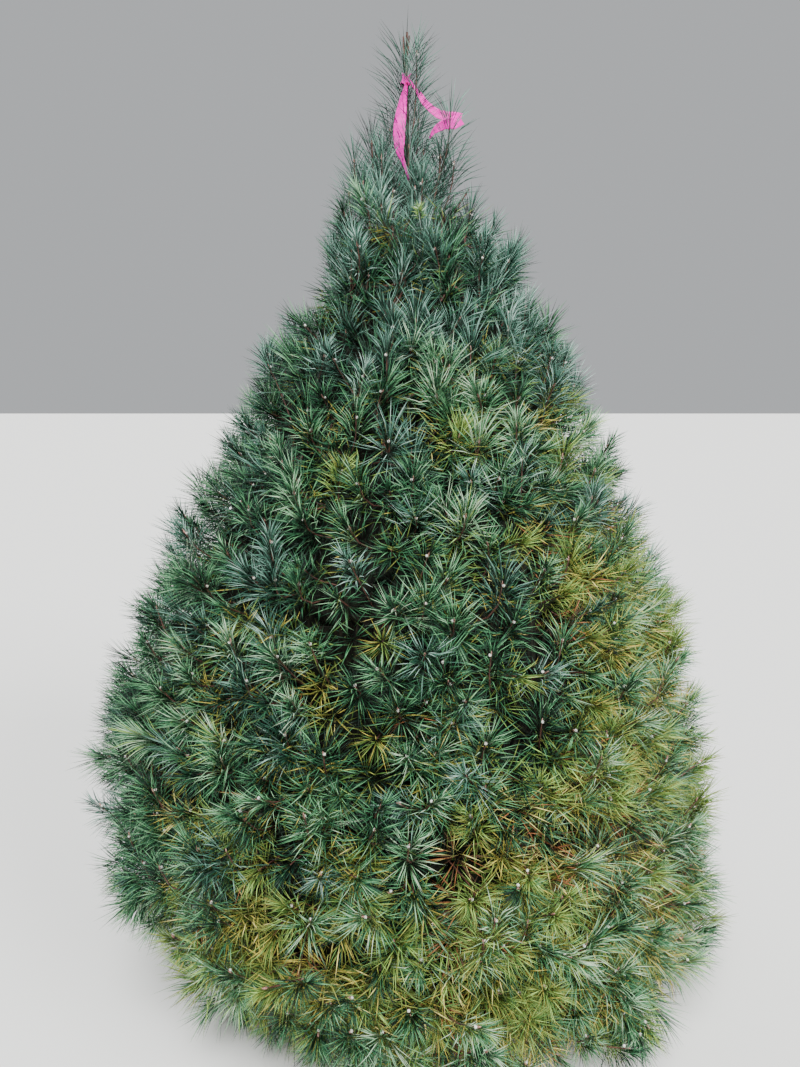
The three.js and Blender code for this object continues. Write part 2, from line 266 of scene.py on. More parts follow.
# The leader's own shoots, read off the photograph. Openings are in degrees, at the foot and at the tip
Shoot = namedtuple("Shoot", "foot tip radius needles length first opening closing")
Habit = namedtuple("Habit", Shoot._fields[2:])
SLIM = Habit(0.0022, 80, 0.095, 0.55, 58, 20)
EARLY = SLIM._replace(length=0.100, first=0.50)
CLOSE = SLIM._replace(length=0.105, first=0.40, closing=22)
DENSE = Habit(0.0022, 90, 0.095, 0.35, 62, 24)
LEADER_SHOOTS = [
    Shoot((0.000, 0.0, 2.04), (0.007, 0.0, 2.400), 0.0035, 270, 0.136, 0.0, 80, 40),
    Shoot((0.003, 0.0, 2.22), (0.007, 0.0, 2.385), 0.0030, 130, 0.078, 0.3, 16, 6),
    Shoot((0.006, -0.008, 2.12), (0.035, -0.030, 2.405), 0.0022, 90, 0.092, 0.4, 66, 18),
    Shoot((-0.004, 0.0, 1.93), (-0.080, -0.020, 2.200), *SLIM._replace(length=0.105, first=0.50)),
    Shoot((-0.005, 0.01, 1.88), (-0.127, 0.000, 2.160), *SLIM),
    Shoot((-0.004, -0.02, 1.90), (-0.053, -0.080, 2.150), *SLIM._replace(length=0.100)),
    Shoot((0.005, -0.01, 1.94), (0.094, -0.060, 2.155), *SLIM),
    Shoot((0.006, 0.01, 1.92), (0.131, -0.020, 2.150), 0.0022, 90, 0.105, 0.50, 80, 34),
    Shoot((0.004, 0.00, 1.98), (0.118, -0.068, 2.250), 0.0022, 80, 0.100, 0.55, 72, 26),
    Shoot((0.004, 0.03, 2.00), (0.055, 0.100, 2.210), *EARLY),
    Shoot((-0.004, 0.03, 1.98), (-0.070, 0.090, 2.195), *EARLY),
    Shoot((0.000, 0.03, 1.93), (0.020, 0.150, 2.140), *EARLY._replace(length=0.095)),
    Shoot((0.002, 0.00, 2.04), (0.040, 0.034, 2.270), *CLOSE),
    Shoot((-0.002, 0.0, 2.02), (-0.034, 0.034, 2.245), *CLOSE),
    Shoot((0.000, 0.0, 1.98), (0.015, -0.055, 2.180), *CLOSE._replace(length=0.100)),
    Shoot((-0.005, 0.02, 1.90), (-0.115, 0.070, 2.120), *SLIM),
    Shoot((0.005, 0.02, 1.90), (0.110, 0.090, 2.130), *SLIM),
    Shoot((-0.003, -0.01, 1.88), (-0.100, -0.070, 2.090), *SLIM),
    Shoot((0.003, -0.01, 1.88), (0.048, -0.110, 2.085), *SLIM),
    Shoot((-0.003, 0.02, 1.90), (-0.050, 0.140, 2.120), *SLIM),
    Shoot((-0.005, 0.00, 1.86), (-0.140, -0.020, 2.075), 0.0022, 90, 0.095, 0.40, 70, 26),
    Shoot((0.003, -0.02, 1.86), (0.030, -0.085, 2.075), *DENSE),
    Shoot((-0.003, -0.02, 1.86), (-0.025, -0.100, 2.065), *DENSE),
    Shoot((0.004, 0.00, 1.86), (0.085, -0.035, 2.085), *DENSE),
    Shoot((-0.004, 0.00, 1.86), (-0.075, -0.045, 2.080), *DENSE),
    Shoot((0.000, 0.02, 1.86), (0.030, 0.090, 2.080), *DENSE),
    Shoot((-0.003, 0.02, 1.86), (-0.055, 0.075, 2.075), *DENSE),
    Shoot((0.003, 0.02, 1.86), (0.085, 0.060, 2.080), *DENSE),
    Shoot((0.000, 0.00, 1.86), (-0.010, 0.045, 2.110), *DENSE),
    Shoot((0.000, 0.00, 1.86), (0.020, -0.050, 2.105), *DENSE),
]
LEADER_BEND = 0.45  # share of its height at which a leader's shoot turns upright
LEADER_TAPER = 0.8
LEADER_STEPS = 7
LEADER_NEEDLED_STEPS = 6
LEADER_BUD_SIZE = 1.1
BUDLESS_SHOOTS = 2  # the first two are the cut leader itself
# Three stubs are left where the leader was cut, and one side shoot has a bare end: foot, tip and radius
BARE_ENDS = [
    ((0.005, 0.0, 2.36), (0.0105, 0.002, 2.472), 0.0034),
    ((0.004, 0.0, 2.38), (0.001, -0.002, 2.460), 0.0028),
    ((0.006, 0.0, 2.38), (0.0165, -0.003, 2.462), 0.0028),
    ((0.006, -0.01, 1.84), (0.173, 0.000, 2.098), 0.0024),
]
BARE_END_TAPER = 0.9
FRESH_TUFT = ((0.044, -0.185, 1.950), (0.039, -0.225, 1.995))
FRESH_FIRST = 0.6  # share of its way at which its needles start
FRESH_NEEDLES = 44
FRESH_NEEDLE_LENGTH = 0.034
FRESH_OPENINGS = (math.radians(50), math.radians(20))

# The marker tape's strips, in rows: middle, direction across, share of the whole width, cupping
TAPE_THICKNESS = 0.0004
TAPE_COLUMNS = 7
TAPE_LEFT = [
    ((0.006, -0.014, 2.356), (0.4, 0.9, 0.1), 0.50, 0.004),
    ((0.004, -0.036, 2.327), (0.3, 1, 0.0), 0.80, 0.004),
    ((-0.001, -0.048, 2.296), (0.6, 0.8, 0.0), 0.95, 0.003),
    ((-0.006, -0.053, 2.265), (0.8, 0.5, 0.0), 1.0, 0.003),
    ((-0.009, -0.056, 2.234), (0.95, 0.2, 0.0), 1.0, 0.002),
    ((-0.010, -0.058, 2.212), (1, 0.0, 0.0), 1.0, 0.002),
    ((-0.008, -0.062, 2.187), (0.8, -0.4, 0.0), 0.95, 0.002),
    ((-0.006, -0.066, 2.170), (0.6, -0.6, 0.0), 0.8, 0.002),
    ((0.000, -0.072, 2.151), (0.6, -0.8, 0.0), 0.45, 0.001),
    ((0.007, -0.080, 2.130), (0.6, -0.8, 0.0), 0.35, 0.001),
    ((0.015, -0.090, 2.100), (0.6, -0.8, 0.0), 0.25, 0.0),
]
TAPE_RIGHT = [
    ((0.012, -0.014, 2.352), (0.3, 0.7, 0.6), 0.50, 0.004),
    ((0.028, -0.026, 2.330), (0.3, 0.9, 0.4), 0.60, 0.004),
    ((0.040, -0.024, 2.316), (0.5, 0.6, 0.8), 0.62, 0.004),
    ((0.055, -0.022, 2.298), (0.6, 0.5, 0.9), 0.65, 0.003),
    ((0.073, -0.022, 2.282), (0.5, 0.4, 1), 0.70, 0.003),
    ((0.091, -0.026, 2.270), (0.3, 0.3, 1), 0.78, 0.003),
    ((0.110, -0.032, 2.263), (0.2, 0.3, 1), 0.85, 0.003),
    ((0.128, -0.038, 2.260), (0.4, 0.2, 1), 0.92, 0.002),
    ((0.1465, -0.042, 2.2545), (1, 0.1, 1.05), 1.0, 0.001),
]
# The right end is folded over and comes back in front of itself
TAPE_FLAP = [
    ((0.1465, -0.046, 2.2545), (1, 0.1, -1.05), 1.0, 0.001),
    ((0.126, -0.052, 2.242), (0.55, 0.1, -1), 1.0, 0.002),
    ((0.104, -0.056, 2.239), (0.4, 0.2, -1), 0.8, 0.003),
    ((0.086, -0.056, 2.229), (0.45, 0.3, -1), 0.62, 0.003),
    ((0.0745, -0.056, 2.219), (0.7, 0.4, -0.8), 0.35, 0.002),
    ((0.067, -0.056, 2.206), (1, 0.4, -0.5), 0.12, 0.0),
]
KNOT_MIDDLE = Vector((0.007, 0, 2.358))
KNOT_RADIUS = 0.009
KNOT_STEPS = 16
KNOT_WAVE = 0.005
KNOT_WAVE_START = 1
KNOT_CUPPING = 0.003
KNOT_ACROSS = Vector((0.1, 0, 1))
KNOT_WIDTH = 0.75  # share of the tape's width, and how much that changes round the leader
KNOT_WIDTH_CHANGE = 0.2

# The stage. The camera stands where the fit to the photograph puts it, pitched down from its horizon
FLOOR_HALF = 40
WORLD_COLOUR = "#e9ecef"
WORLD_STRENGTH = 0.6
Lamp = namedtuple("Lamp", "name place degrees strength")
LAMPS = [
    Lamp("Ceiling", (-0.15, -1.1, 1.9), 36, 5.6),
    Lamp("Right window", (2.2, -1.7, 1.5), 30, 3.2),
    Lamp("Back fill", (-1.2, 2.4, 1.3), 60, 1.0),
]
CAMERA_PLACE = (0, -2.2, 1.6)
CAMERA_PITCH = math.radians(90 - 10.8)
CAMERA_SENSOR = 36
CAMERA_LENS = 26.65
CAMERA_SHIFT = -0.0028

OBJECT_COORDINATES = 3  # the output of Texture Coordinate that stays with the piece

Cell = namedtuple("Cell", "name key start end floor rim floor_top rim_top share")
Patch = namedtuple("Patch", "start end low high")
Twig = namedtuple("Twig", "points radii")
Spray = namedtuple("Spray", "place points needles length foot_opening tip_opening tint")
Bud = namedtuple("Bud", "point heading size")
Crown = namedtuple("Crown", "sizes boughs twigs outer inner buds")
Sizes = namedtuple(
    "Sizes",
    "needle_length needles_per_shoot old_needle_length "
    "needles_per_old_spray needles_per_side_shoot shoot_spacing",
)


def linear(code):
    """The colour of an sRGB hex code in linear light, with full alpha."""
    channels = [int(code[i : i + 2], 16) / 255 for i in (1, 3, 5)]
    return (*(c / 12.92 if c <= 0.04045 else ((c + 0.055) / 1.055) ** 2.4 for c in channels), 1.0)


def lerp(start, end, share):
    return start + (end - start) * share


def clamp(value, low, high):
    return max(low, min(high, value))


def tapering(start, end, steps):
    return [lerp(start, end, i / steps) for i in range(steps + 1)]


def chance(key, salt):
    """A number from 0 to 1 that depends only on a limb's key and on what it is for, as in the source."""
    wave = math.sin(key * 12.9898 + salt * 78.233) * 43758.5453
    return wave - math.floor(wave)


def spread(key, salt):
    return 2 * chance(key, salt) - 1


def along(points, at):
    """The value at a place in a list of (place, value)."""
    i = 0
    while i < len(points) - 2 and at > points[i + 1][0]:
        i += 1
    (low, start), (high, end) = points[i], points[i + 1]
    return lerp(start, end, clamp((at - low) / (high - low), 0, 1))


def outline_radius(height, azimuth):
    return along(OUTLINE, height) * (1 + along(FULLER_RIGHT, height) * math.cos(azimuth))


def trunk_middle(height):
    return TRUNK_SWAY * math.sin(2 * math.pi * height / TRUNK_SWAY_LENGTH) * (height / TRUNK_SWAY_LENGTH)


def in_cell(cell, azimuth, up, out):
    """A point of a cell: azimuth, share of the way up the cell and share of the way out."""
    rim = lerp(cell.rim, cell.rim_top, up)
    floor = lerp(cell.floor, cell.floor_top, up)
    radius = out * outline_radius(rim, azimuth)
    height = lerp(floor, rim, out**RISE)
    return Vector((radius * math.cos(azimuth) + trunk_middle(height), radius * math.sin(azimuth), height))


def cells():
    """The space of each mass of foliage, whorl by whorl."""
    found = []
    for t, tier in enumerate(TIERS[:-1]):
        above = TIERS[t + 1]
        for i in range(tier.masses):
            width = 2 * math.pi / tier.masses
            start = t * WHORL_TURN + i * width
            reach = outline_radius((tier.rim + above.rim) / 2, start + width / 2)
            share = clamp(math.sqrt(reach / WIDEST), SLIMMEST_SHARE, 1)
            key = 100 * (t + 1) + 10 * (i + 1)
            heights = (tier.floor, tier.rim, above.floor, above.rim)
            found.append(Cell(tier.name, key, start, start + width, *heights, share))
    return found


def stretch(cell, start, end, steps):
    """The middle line of a cell, between two shares of the way out."""
    middle = (cell.start + cell.end) / 2
    return [in_cell(cell, middle, 0.5, share) for share in tapering(start, end, steps)]


def bow(start, bend, end, first, steps):
    """Points of a bent line through three handles, from a share of its way to its end."""
    return [
        start * (1 - t) ** 2 + bend * (2 * t * (1 - t)) + end * t**2 for t in tapering(first, 1, steps)
    ]


def outward(height, azimuth):
    """The direction straight out of the crown's surface."""
    above, below = outline_radius(height + SLOPE_STEP, azimuth), outline_radius(height - SLOPE_STEP, azimuth)
    slope = clamp((above - below) / (2 * SLOPE_STEP), SLOPE_LEAST, SLOPE_MOST)
    return Vector((math.cos(azimuth), math.sin(azimuth), -slope)).normalized()


def seam_swing(cell, azimuth, level):
    """How far a shoot swings round the trunk off its patch."""
    return SEAM_SWING * noise.noise(in_cell(cell, azimuth, level, 1) * SEAM_SWINGS_PER_METRE)


def deal(key, salt, **shares):
    """The place in TINTS of one tint, picked by chance."""
    left = chance(key, salt) * sum(shares.values())
    for tint, share in shares.items():
        left -= share
        if left <= 0:
            break
    return TINTS.index(tint)


def off_middle(patch, wander, key, salt):
    """An azimuth and a level near the middle of a patch, by chance."""
    azimuth = lerp(patch.start, patch.end, 0.5 + wander * spread(key, salt))
    return azimuth, lerp(patch.low, patch.high, 0.5 + wander * spread(key, salt + 1))


def heading_near(azimuth, height, key):
    """The way a shoot points: flat near the ground and steep at the top, each a little off."""
    rise = math.radians(along(HEADING, height) + HEADING_SPREAD * spread(key, 7))
    turn = azimuth + math.radians(AZIMUTH_SPREAD * spread(key, 8))
    return Vector((math.cos(turn) * math.cos(rise), math.sin(turn) * math.cos(rise), math.sin(rise)))


def facing_oldest_and_lit(point):
    """1 on the side of the crown where most needles turn and the outer tints paint light, -1 on the far side.
    """
    return math.cos(math.atan2(point.y, point.x) - OLDEST_AND_LIT_SIDE)


def yellowing_and_light_at(point):
    """How far the inner needles have turned: most near the ground, in patches round the crown, and most of
    all on the side to the viewer's right. On the outer shoots the same field paints light on that side."""
    facing = facing_oldest_and_lit(point)
    patches = noise.noise(point * PATCHES_PER_METRE + PATCH_SHIFT)
    patches *= TURNED_IN_PATCHES + PATCHIER_ON_OLDEST_SIDE * facing
    turned = TURNED_ALL_ROUND + TURNED_ON_OLDEST_SIDE * facing + patches
    return clamp(along(OLD_SHARE, point.z) * turned, 0, 1)


def end_in_shoot(cell, patch, fork, key, crown):
    """A twig runs from a fork to the outline and carries needles on its end."""
    azimuth, level = off_middle(patch, SHOOT_WANDER, key, 4)
    azimuth += seam_swing(cell, azimuth, level)
    surface = in_cell(cell, azimuth, level, SHOOT_REACH_LEAST + SHOOT_REACH_MORE * chance(key, 3))
    length = crown.sizes.needle_length * (1 + NEEDLE_LENGTH_SPREAD * spread(key, 6))
    bulge = BULGE * noise.noise(surface * BULGES_PER_METRE)
    tip = surface - outward(surface.z, azimuth) * (length * along(NEEDLE_LEAD, surface.z) - bulge)
    if tip.z > HIGHEST_SHOOT:
        return
    heading = heading_near(azimuth, tip.z, key)
    reach = (tip - fork).length
    bend = tip - heading * reach * SHOOT_BEND
    radii = tapering(SHOOT_FOOT_RADIUS, SHOOT_TIP_RADIUS, SHOOT_STEPS)
    crown.twigs.append(Twig(bow(fork, bend, tip, 0, SHOOT_STEPS), radii))

    first = clamp(1 - NEEDLED_LENGTH / reach, 0, 1)
    needled = bow(fork, bend, tip, first, NEEDLED_STEPS)
    turned = yellowing_and_light_at(tip)
    # Blue by height is real; more on the far side and less where turned paints shade and light
    bluish = (along(BLUISH, tip.z) + BLUISH_FAR_SIDE * clamp(-facing_oldest_and_lit(tip), 0, 1)) * (1 - turned)
    # Soft and pale grow and deep shrinks with turned: part real yellowing, part painted light and shade
    tint = deal(
        key,
        9,
        deep=0.44 - 0.26 * turned,
        middle=0.42 - 0.12 * turned,
        soft=0.14 + 0.16 * turned,
        pale=0.08 * turned,
        fern=0.4 * turned**2,
        slate=0.6 * bluish,
        teal=0.4 * bluish,
    )
    needles = round(crown.sizes.needles_per_shoot * (1 + NEEDLE_COUNT_SPREAD * spread(key, 11)))
    crown.outer.append(Spray(cell.name, needled, needles, length, FOOT_OPENING, TIP_OPENING, tint))
    crown.buds.append(Bud(tip, heading, 1 + BUD_SIZE_SPREAD * spread(key, 13)))

    if first > OLD_WOOD_LEAST:
        behind = bow(fork, bend, tip, max(0, first - OLD_WOOD_START), OLD_WOOD_STEPS)[:2]
        count = crown.sizes.needles_per_old_spray * (OLD_NEEDLES_GREEN + OLD_NEEDLES_MORE * turned)
        add_inner(cell, behind, count, key, crown)
    for side in range(2 if chance(key, 19) < turned else 1):
        add_side_shoot(cell, patch, fork, key, side, crown)


def add_side_shoot(cell, patch, fork, key, side, crown):
    """A weaker shoot that ends deeper, in the hollow between the outer shoots."""
    corner = int(4 * chance(key, 15)) + side
    azimuth = patch.start if corner % 2 else patch.end
    level = patch.low if corner % 4 < 2 else patch.high
    azimuth += seam_swing(cell, azimuth, level)
    surface = in_cell(cell, azimuth, level, SIDE_SHOOT_REACH)
    depth = lerp(SIDE_SHOOT_DEPTH_LEAST, SIDE_SHOOT_DEPTH_MOST, chance(key, 17 + side))
    depth *= 1 - TURNED_STANDS_OUT * yellowing_and_light_at(surface)
    tip = surface - outward(surface.z, azimuth) * depth
    reach = (tip - fork).length
    own_key = key + 0.5 + side
    bend = tip - heading_near(azimuth, tip.z, own_key) * reach * SIDE_SHOOT_BEND
    points = bow(fork, bend, tip, clamp(1 - SIDE_NEEDLED_LENGTH / reach, 0, 1), SIDE_NEEDLED_STEPS)
    add_inner(cell, points, crown.sizes.needles_per_side_shoot, own_key, crown)


def add_inner(cell, points, needles, key, crown):
    """Older needles along a twig inside the crown: dark green, or yellowing in their last season."""
    yellowing = yellowing_and_light_at(points[-1])
    if chance(key, 21) > yellowing:
        # The shade tint is near-black: painted shade for needles deep in the crown
        tint = deal(key, 23, shade=0.3, deep=0.4, middle=0.2, moss=0.1)
    elif chance(key, 27) < yellowing * TURNED_WHOLLY:
        tint = deal(key, 22, olive=0.4, gold=0.3, straw=0.04, rust=0.19, umber=0.07)
    else:
        tint = deal(key, 22, leaf=0.2, fern=0.2, moss=0.35, olive=0.25)
    length = crown.sizes.old_needle_length * (1 + INNER_LENGTH_SPREAD * spread(key, 24))
    count = round(needles * (1 + INNER_COUNT_SPREAD * spread(key, 25)))
    opening = math.radians(lerp(*INNER_FOOT_OPENINGS, chance(key, 26)))
    crown.inner.append(Spray(cell.name, points, count, length, opening, INNER_TIP_OPENING, tint))


def grow(cell, patch, start, out, key, crown):
    """The growth rule of the source: a limb grows towards the middle of a patch of the outline, the patch
    is cut in two across its longer side, and so on, until a patch is so small that it gets one shoot."""
    middle = (patch.start + patch.end) / 2
    level = (patch.low + patch.high) / 2
    wide = (patch.end - patch.start) * outline_radius(lerp(cell.rim, cell.rim_top, level), middle)
    tall = (in_cell(cell, middle, patch.low, 1) - in_cell(cell, middle, patch.high, 1)).length
    size = max(wide, tall)
    if size < crown.sizes.shoot_spacing:
        end_in_shoot(cell, patch, start, key, crown)
        return
    following = lerp(out, FORK_END, 0.5)
    fork = in_cell(cell, *off_middle(patch, FORK_WANDER, key, 34), following)
    aside = Vector((spread(key, 31), spread(key, 32), spread(key, 33) - LIMB_SAG))
    bend = (start + fork) / 2 + aside * LIMB_WANDER * (fork - start).length
    points = bow(start, bend, fork, 0, LIMB_STEPS)
    radii = tapering(along(LIMB_RADIUS, size * PATCH_BEFORE), along(LIMB_RADIUS, size), LIMB_STEPS)
    crown.twigs.append(Twig(points, radii))
    if fork.z > YOUNG_WOOD and size < YOUNG_PATCH * crown.sizes.shoot_spacing:
        add_inner(cell, points, LIMB_NEEDLES * crown.sizes.needles_per_old_spray, key, crown)
    cut = CUT_LEAST + CUT_MORE * chance(key, 1)
    azimuth = lerp(patch.start, patch.end, cut)
    height = lerp(patch.low, patch.high, cut)
    if wide > tall:
        halves = [patch._replace(end=azimuth), patch._replace(start=azimuth)]
    else:
        halves = [patch._replace(high=height), patch._replace(low=height)]
    for k, half in enumerate(halves):
        grow(cell, half, fork, following, key * 2 + k, crown)


def fill_hollows(crown):
    """Weak shoots grow out of the inner growth where the others leave a hollow open to the light."""
    tips = kdtree.KDTree(len(crown.outer))
    for i, spray in enumerate(crown.outer):
        tips.insert(spray.points[-1], i)
    tips.balance()
    filled = []
    for cell in cells():
        for k in range(HOLLOW_TRIALS):
            key = 100 * cell.key + k
            azimuth = lerp(cell.start, cell.end, chance(key, 61))
            surface = in_cell(cell, azimuth, chance(key, 62), 1)
            out = outward(surface.z, azimuth)
            middle = surface - out * HOLLOW_LEVEL
            nearest = min([tips.find(middle)[2], *((middle - other).length for other in filled)])
            if nearest >= HOLLOW_RADIUS and surface.z <= HIGHEST_SHOOT:
                filled.append(middle)
                foot = surface - out * (CORE_DEPTH + HOLLOW_SHOOT_ROOT)
                add_weak_shoot(cell, foot, surface - out * HOLLOW_SHOOT_DEPTH, key, crown)


def add_weak_shoot(cell, foot, tip, key, crown):
    """A short shoot that fills a hollow, dealt dark tints as painted shade."""
    crown.twigs.append(Twig([foot, tip], [SHOOT_FOOT_RADIUS, SHOOT_TIP_RADIUS]))
    points = [lerp(foot, tip, share) for share in HOLLOW_SHOOT_NEEDLED]
    turned = yellowing_and_light_at(tip)
    # Mostly the shade and deep tints: painted shade in the hollow
    tint = deal(key, 63, shade=0.4, deep=0.4, middle=0.2, fern=0.3 * turned, moss=0.4 * turned)
    needles = round(HOLLOW_SHOOT_NEEDLES * crown.sizes.needles_per_shoot)
    length = crown.sizes.needle_length
    crown.outer.append(Spray(cell.name, points, needles, length, FOOT_OPENING, TIP_OPENING, tint))


def add_leader(crown):
    """Long upright shoots at the top, with needles spaced further apart, and one fresh tuft."""
    for key, shoot in enumerate(LEADER_SHOOTS, start=1):
        foot, tip = Vector(shoot.foot), Vector(shoot.tip)
        bend = Vector((tip.x, tip.y, lerp(foot.z, tip.z, LEADER_BEND)))
        points = bow(foot, bend, tip, 0, LEADER_STEPS)
        crown.twigs.append(Twig(points, tapering(shoot.radius, shoot.radius * LEADER_TAPER, LEADER_STEPS)))
        needled = bow(foot, bend, tip, shoot.first, LEADER_NEEDLED_STEPS)
        openings = (math.radians(shoot.opening), math.radians(shoot.closing))
        # Dark night and slate tints, with few paler needles: painted shade on the leader
        tint = deal(key, 41, night=0.35, slate=0.65)
        crown.outer.append(Spray("leader", needled, shoot.needles, shoot.length, *openings, tint))
        if key > BUDLESS_SHOOTS:
            crown.buds.append(Bud(tip, (points[-1] - points[-2]).normalized(), LEADER_BUD_SIZE))
    for foot, tip, radius in BARE_ENDS:
        crown.twigs.append(Twig([Vector(foot), Vector(tip)], [radius, radius * BARE_END_TAPER]))
    foot, tip = (Vector(point) for point in FRESH_TUFT)
    crown.twigs.append(Twig([foot, tip], [SHOOT_TIP_RADIUS, SHOOT_TIP_RADIUS]))
    tuft = [lerp(foot, tip, FRESH_FIRST), tip]
    tint = TINTS.index("leaf")
    crown.outer.append(Spray("top", tuft, FRESH_NEEDLES, FRESH_NEEDLE_LENGTH, *FRESH_OPENINGS, tint))


@functools.cache
def grown_with(sizes):
    """The whole crown: boughs, twigs, sprays of needles and buds."""
    crown = Crown(sizes, [], [], [], [], [])
    for cell in cells():
        if cell.name == "leader":
            continue
        root = BOUGH_ROOT_RADIUS * cell.share
        tip = root * BOUGH_TIP_SHARE
        line = stretch(cell, 0, BOUGH_END, BOUGH_STEPS)
        crown.boughs.append(Twig(line, tapering(root, tip, BOUGH_STEPS)))
        stem = stretch(cell, BOUGH_END, FORK_START, STEM_STEPS)
        crown.twigs.append(Twig(stem, tapering(tip, TWIG_RADIUS, STEM_STEPS)))
        grow(cell, Patch(cell.start, cell.end, 0, 1), stem[-1], FORK_START, cell.key, crown)
    fill_hollows(crown)
    add_leader(crown)
    return crown


def grown():
    """The crown at the sizes that the panel shows."""
    group = bpy.context.scene.pine_sizes
    return grown_with(Sizes(*(getattr(group, name) for name in Sizes._fields)))


def add_node(tree, kind, joins=None, **settings):
    """Adds a node with its settings, fills or joins its live inputs, and gives its live outputs. An input
    that takes several sockets gets them as a list, and a colour ramp is given as (place, colour) pairs."""
    node = tree.nodes.new(kind)
    for name, value in settings.items():
        if name == "color_ramp":
            for element, stop in zip(node.color_ramp.elements, value):
                element.position, element.color = stop
        else:
            setattr(node, name, value)
    live = [socket for socket in node.inputs if socket.enabled]
    for key, value in (joins or {}).items():
        socket = live[key] if isinstance(key, int) else next(s for s in live if s.name == key)
        for one in value if isinstance(value, list) else [value]:
            if isinstance(one, bpy.types.NodeSocket):
                tree.links.new(one, socket)
            else:
                socket.default_value = one
    return [socket for socket in node.outputs if socket.enabled]


def new_tree(name, output, inputs):
    """A geometry tree with named inputs and one output: the tree, a function that adds nodes to it, and its
    inputs' sockets by name."""
    tree = bpy.data.node_groups.new(name, "GeometryNodeTree")
    for title, kind in inputs.items():
        tree.interface.new_socket(title, in_out="INPUT", socket_type=f"NodeSocket{kind}")
    tree.interface.new_socket(output, in_out="OUTPUT", socket_type="NodeSocketGeometry")
    return tree, functools.partial(add_node, tree), dict(zip(inputs, add_node(tree, "NodeGroupInput")))


def realized(tree, geometry, material):
    """Ends a branch of a tree as real, smooth faces of one material."""
    (geometry,) = add_node(tree, "GeometryNodeRealizeInstances", {"Geometry": geometry})
    (geometry,) = add_node(tree, "GeometryNodeSetShadeSmooth", {"Geometry": geometry, "Shade Smooth": True})
    return add_node(tree, "GeometryNodeSetMaterial", {"Geometry": geometry, "Material": material})[0]


def needle_tree(materials):
    """Needles stand round shoots in a golden-angle spiral, open wide at the foot and close round the tip."""
    tree, node, given = new_tree(
        "Needles on shoots",
        "Needles",
        {
            "Shoots": "Geometry",
            "Needle": "Object",
            "Needle Width": "Float",
            "Droop": "Float",
            "Darker": "Float",
            "Paler": "Float",
            "Seed": "Int",
        },
    )
    stored = {}
    for name, kind in (("needles", "INT"), ("tint", "INT"), ("length", "FLOAT"), ("opening", "FLOAT")):
        stored[name], _ = node("GeometryNodeInputNamedAttribute", {"Name": name}, data_type=kind)
    (curves,) = node("GeometryNodeMeshToCurve", {"Mesh": given["Shoots"]})
    along_shoots = {"Curve": curves, "Count": stored["needles"]}
    points, tangent, _, _ = node("GeometryNodeCurveToPoints", along_shoots, mode="COUNT")

    # What is each needle's own
    (darkest,) = node("ShaderNodeMath", {0: given["Darker"], 1: -1.0}, operation="MULTIPLY")
    drawn = []
    for step, (low, high) in enumerate((TURN_WANDER, LEAN_SHARES, LENGTH_SHARES, (darkest, given["Paler"]))):
        (seed,) = node("FunctionNodeIntegerMath", {0: given["Seed"], 1: step})
        drawn += node("FunctionNodeRandomValue", {"Min": low, "Max": high, "Seed": seed})
    wander, lean_share, length_share, shift = drawn

    # Round the shoot by the golden angle, out from it by the opening, and then down a little
    (index,) = node("GeometryNodeInputIndex")
    (turn,) = node("ShaderNodeMath", {0: index, 1: GOLDEN_TURN, 2: wander}, operation="MULTIPLY_ADD")
    (lean,) = node("ShaderNodeMath", {0: stored["opening"], 1: lean_share}, operation="MULTIPLY")
    (facing,) = node("FunctionNodeAlignRotationToVector", {"Vector": tangent}, axis="Z")
    for axis, angle in (((0, 0, 1), turn), ((1, 0, 0), lean)):
        (by,) = node("FunctionNodeAxisAngleToRotation", {"Axis": axis, "Angle": angle})
        (facing,) = node("FunctionNodeRotateRotation", {0: facing, 1: by}, rotation_space="LOCAL")
    hang = {"Rotation": facing, "Factor": given["Droop"], "Vector": (0, 0, -1)}
    (facing,) = node("FunctionNodeAlignRotationToVector", hang, axis="Z")

    # No needle reaches into the ground
    (length,) = node("ShaderNodeMath", {0: stored["length"], 1: length_share}, operation="MULTIPLY")
    (line,) = node("ShaderNodeCombineXYZ", {"Z": length})
    (line,) = node("FunctionNodeRotateVector", {"Vector": line, "Rotation": facing})
    (foot,) = node("GeometryNodeInputPosition")
    (tip,) = node("ShaderNodeVectorMath", {0: foot, 1: line}, operation="ADD")
    _, _, tip_height = node("ShaderNodeSeparateXYZ", {0: tip})
    lifted = {"A": tip_height, "B": MARGIN_ABOVE_GROUND}
    (above,) = node("FunctionNodeCompare", lifted, data_type="FLOAT", operation="GREATER_THAN")

    # The needle's own tint is its spray's, shifted and kept among the tints. A darker shift paints
    # shade between needles; a paler one shows wax lines and partly paints highlights
    (tint,) = node("ShaderNodeMath", {0: stored["tint"], 1: shift}, operation="ADD")
    (tint,) = node("ShaderNodeClamp", {"Value": tint, "Min": 0.0, "Max": len(materials) - 1.0})
    (tint,) = node("ShaderNodeMath", {0: tint}, operation="ROUND")
    marking = {"Geometry": points, "Name": "tint", "Value": tint}
    (points,) = node("GeometryNodeStoreNamedAttribute", marking, data_type="INT", domain="POINT")

    needle = node("GeometryNodeObjectInfo", {"Object": given["Needle"]})[-1]
    width = given["Needle Width"]
    (size,) = node("ShaderNodeCombineXYZ", {"X": width, "Y": width, "Z": length})
    (needles,) = node(
        "GeometryNodeInstanceOnPoints",
        {"Points": points, "Selection": above, "Instance": needle, "Rotation": facing, "Scale": size},
    )
    needles = realized(tree, needles, materials[0])
    for k, material in enumerate(materials):
        chosen = {"A": stored["tint"], "B": k}
        (chosen,) = node("FunctionNodeCompare", chosen, data_type="INT", operation="EQUAL")
        tinted = {"Geometry": needles, "Selection": chosen, "Material": material}
        (needles,) = node("GeometryNodeSetMaterial", tinted)
    node("NodeGroupOutput", {"Needles": needles})
    return tree


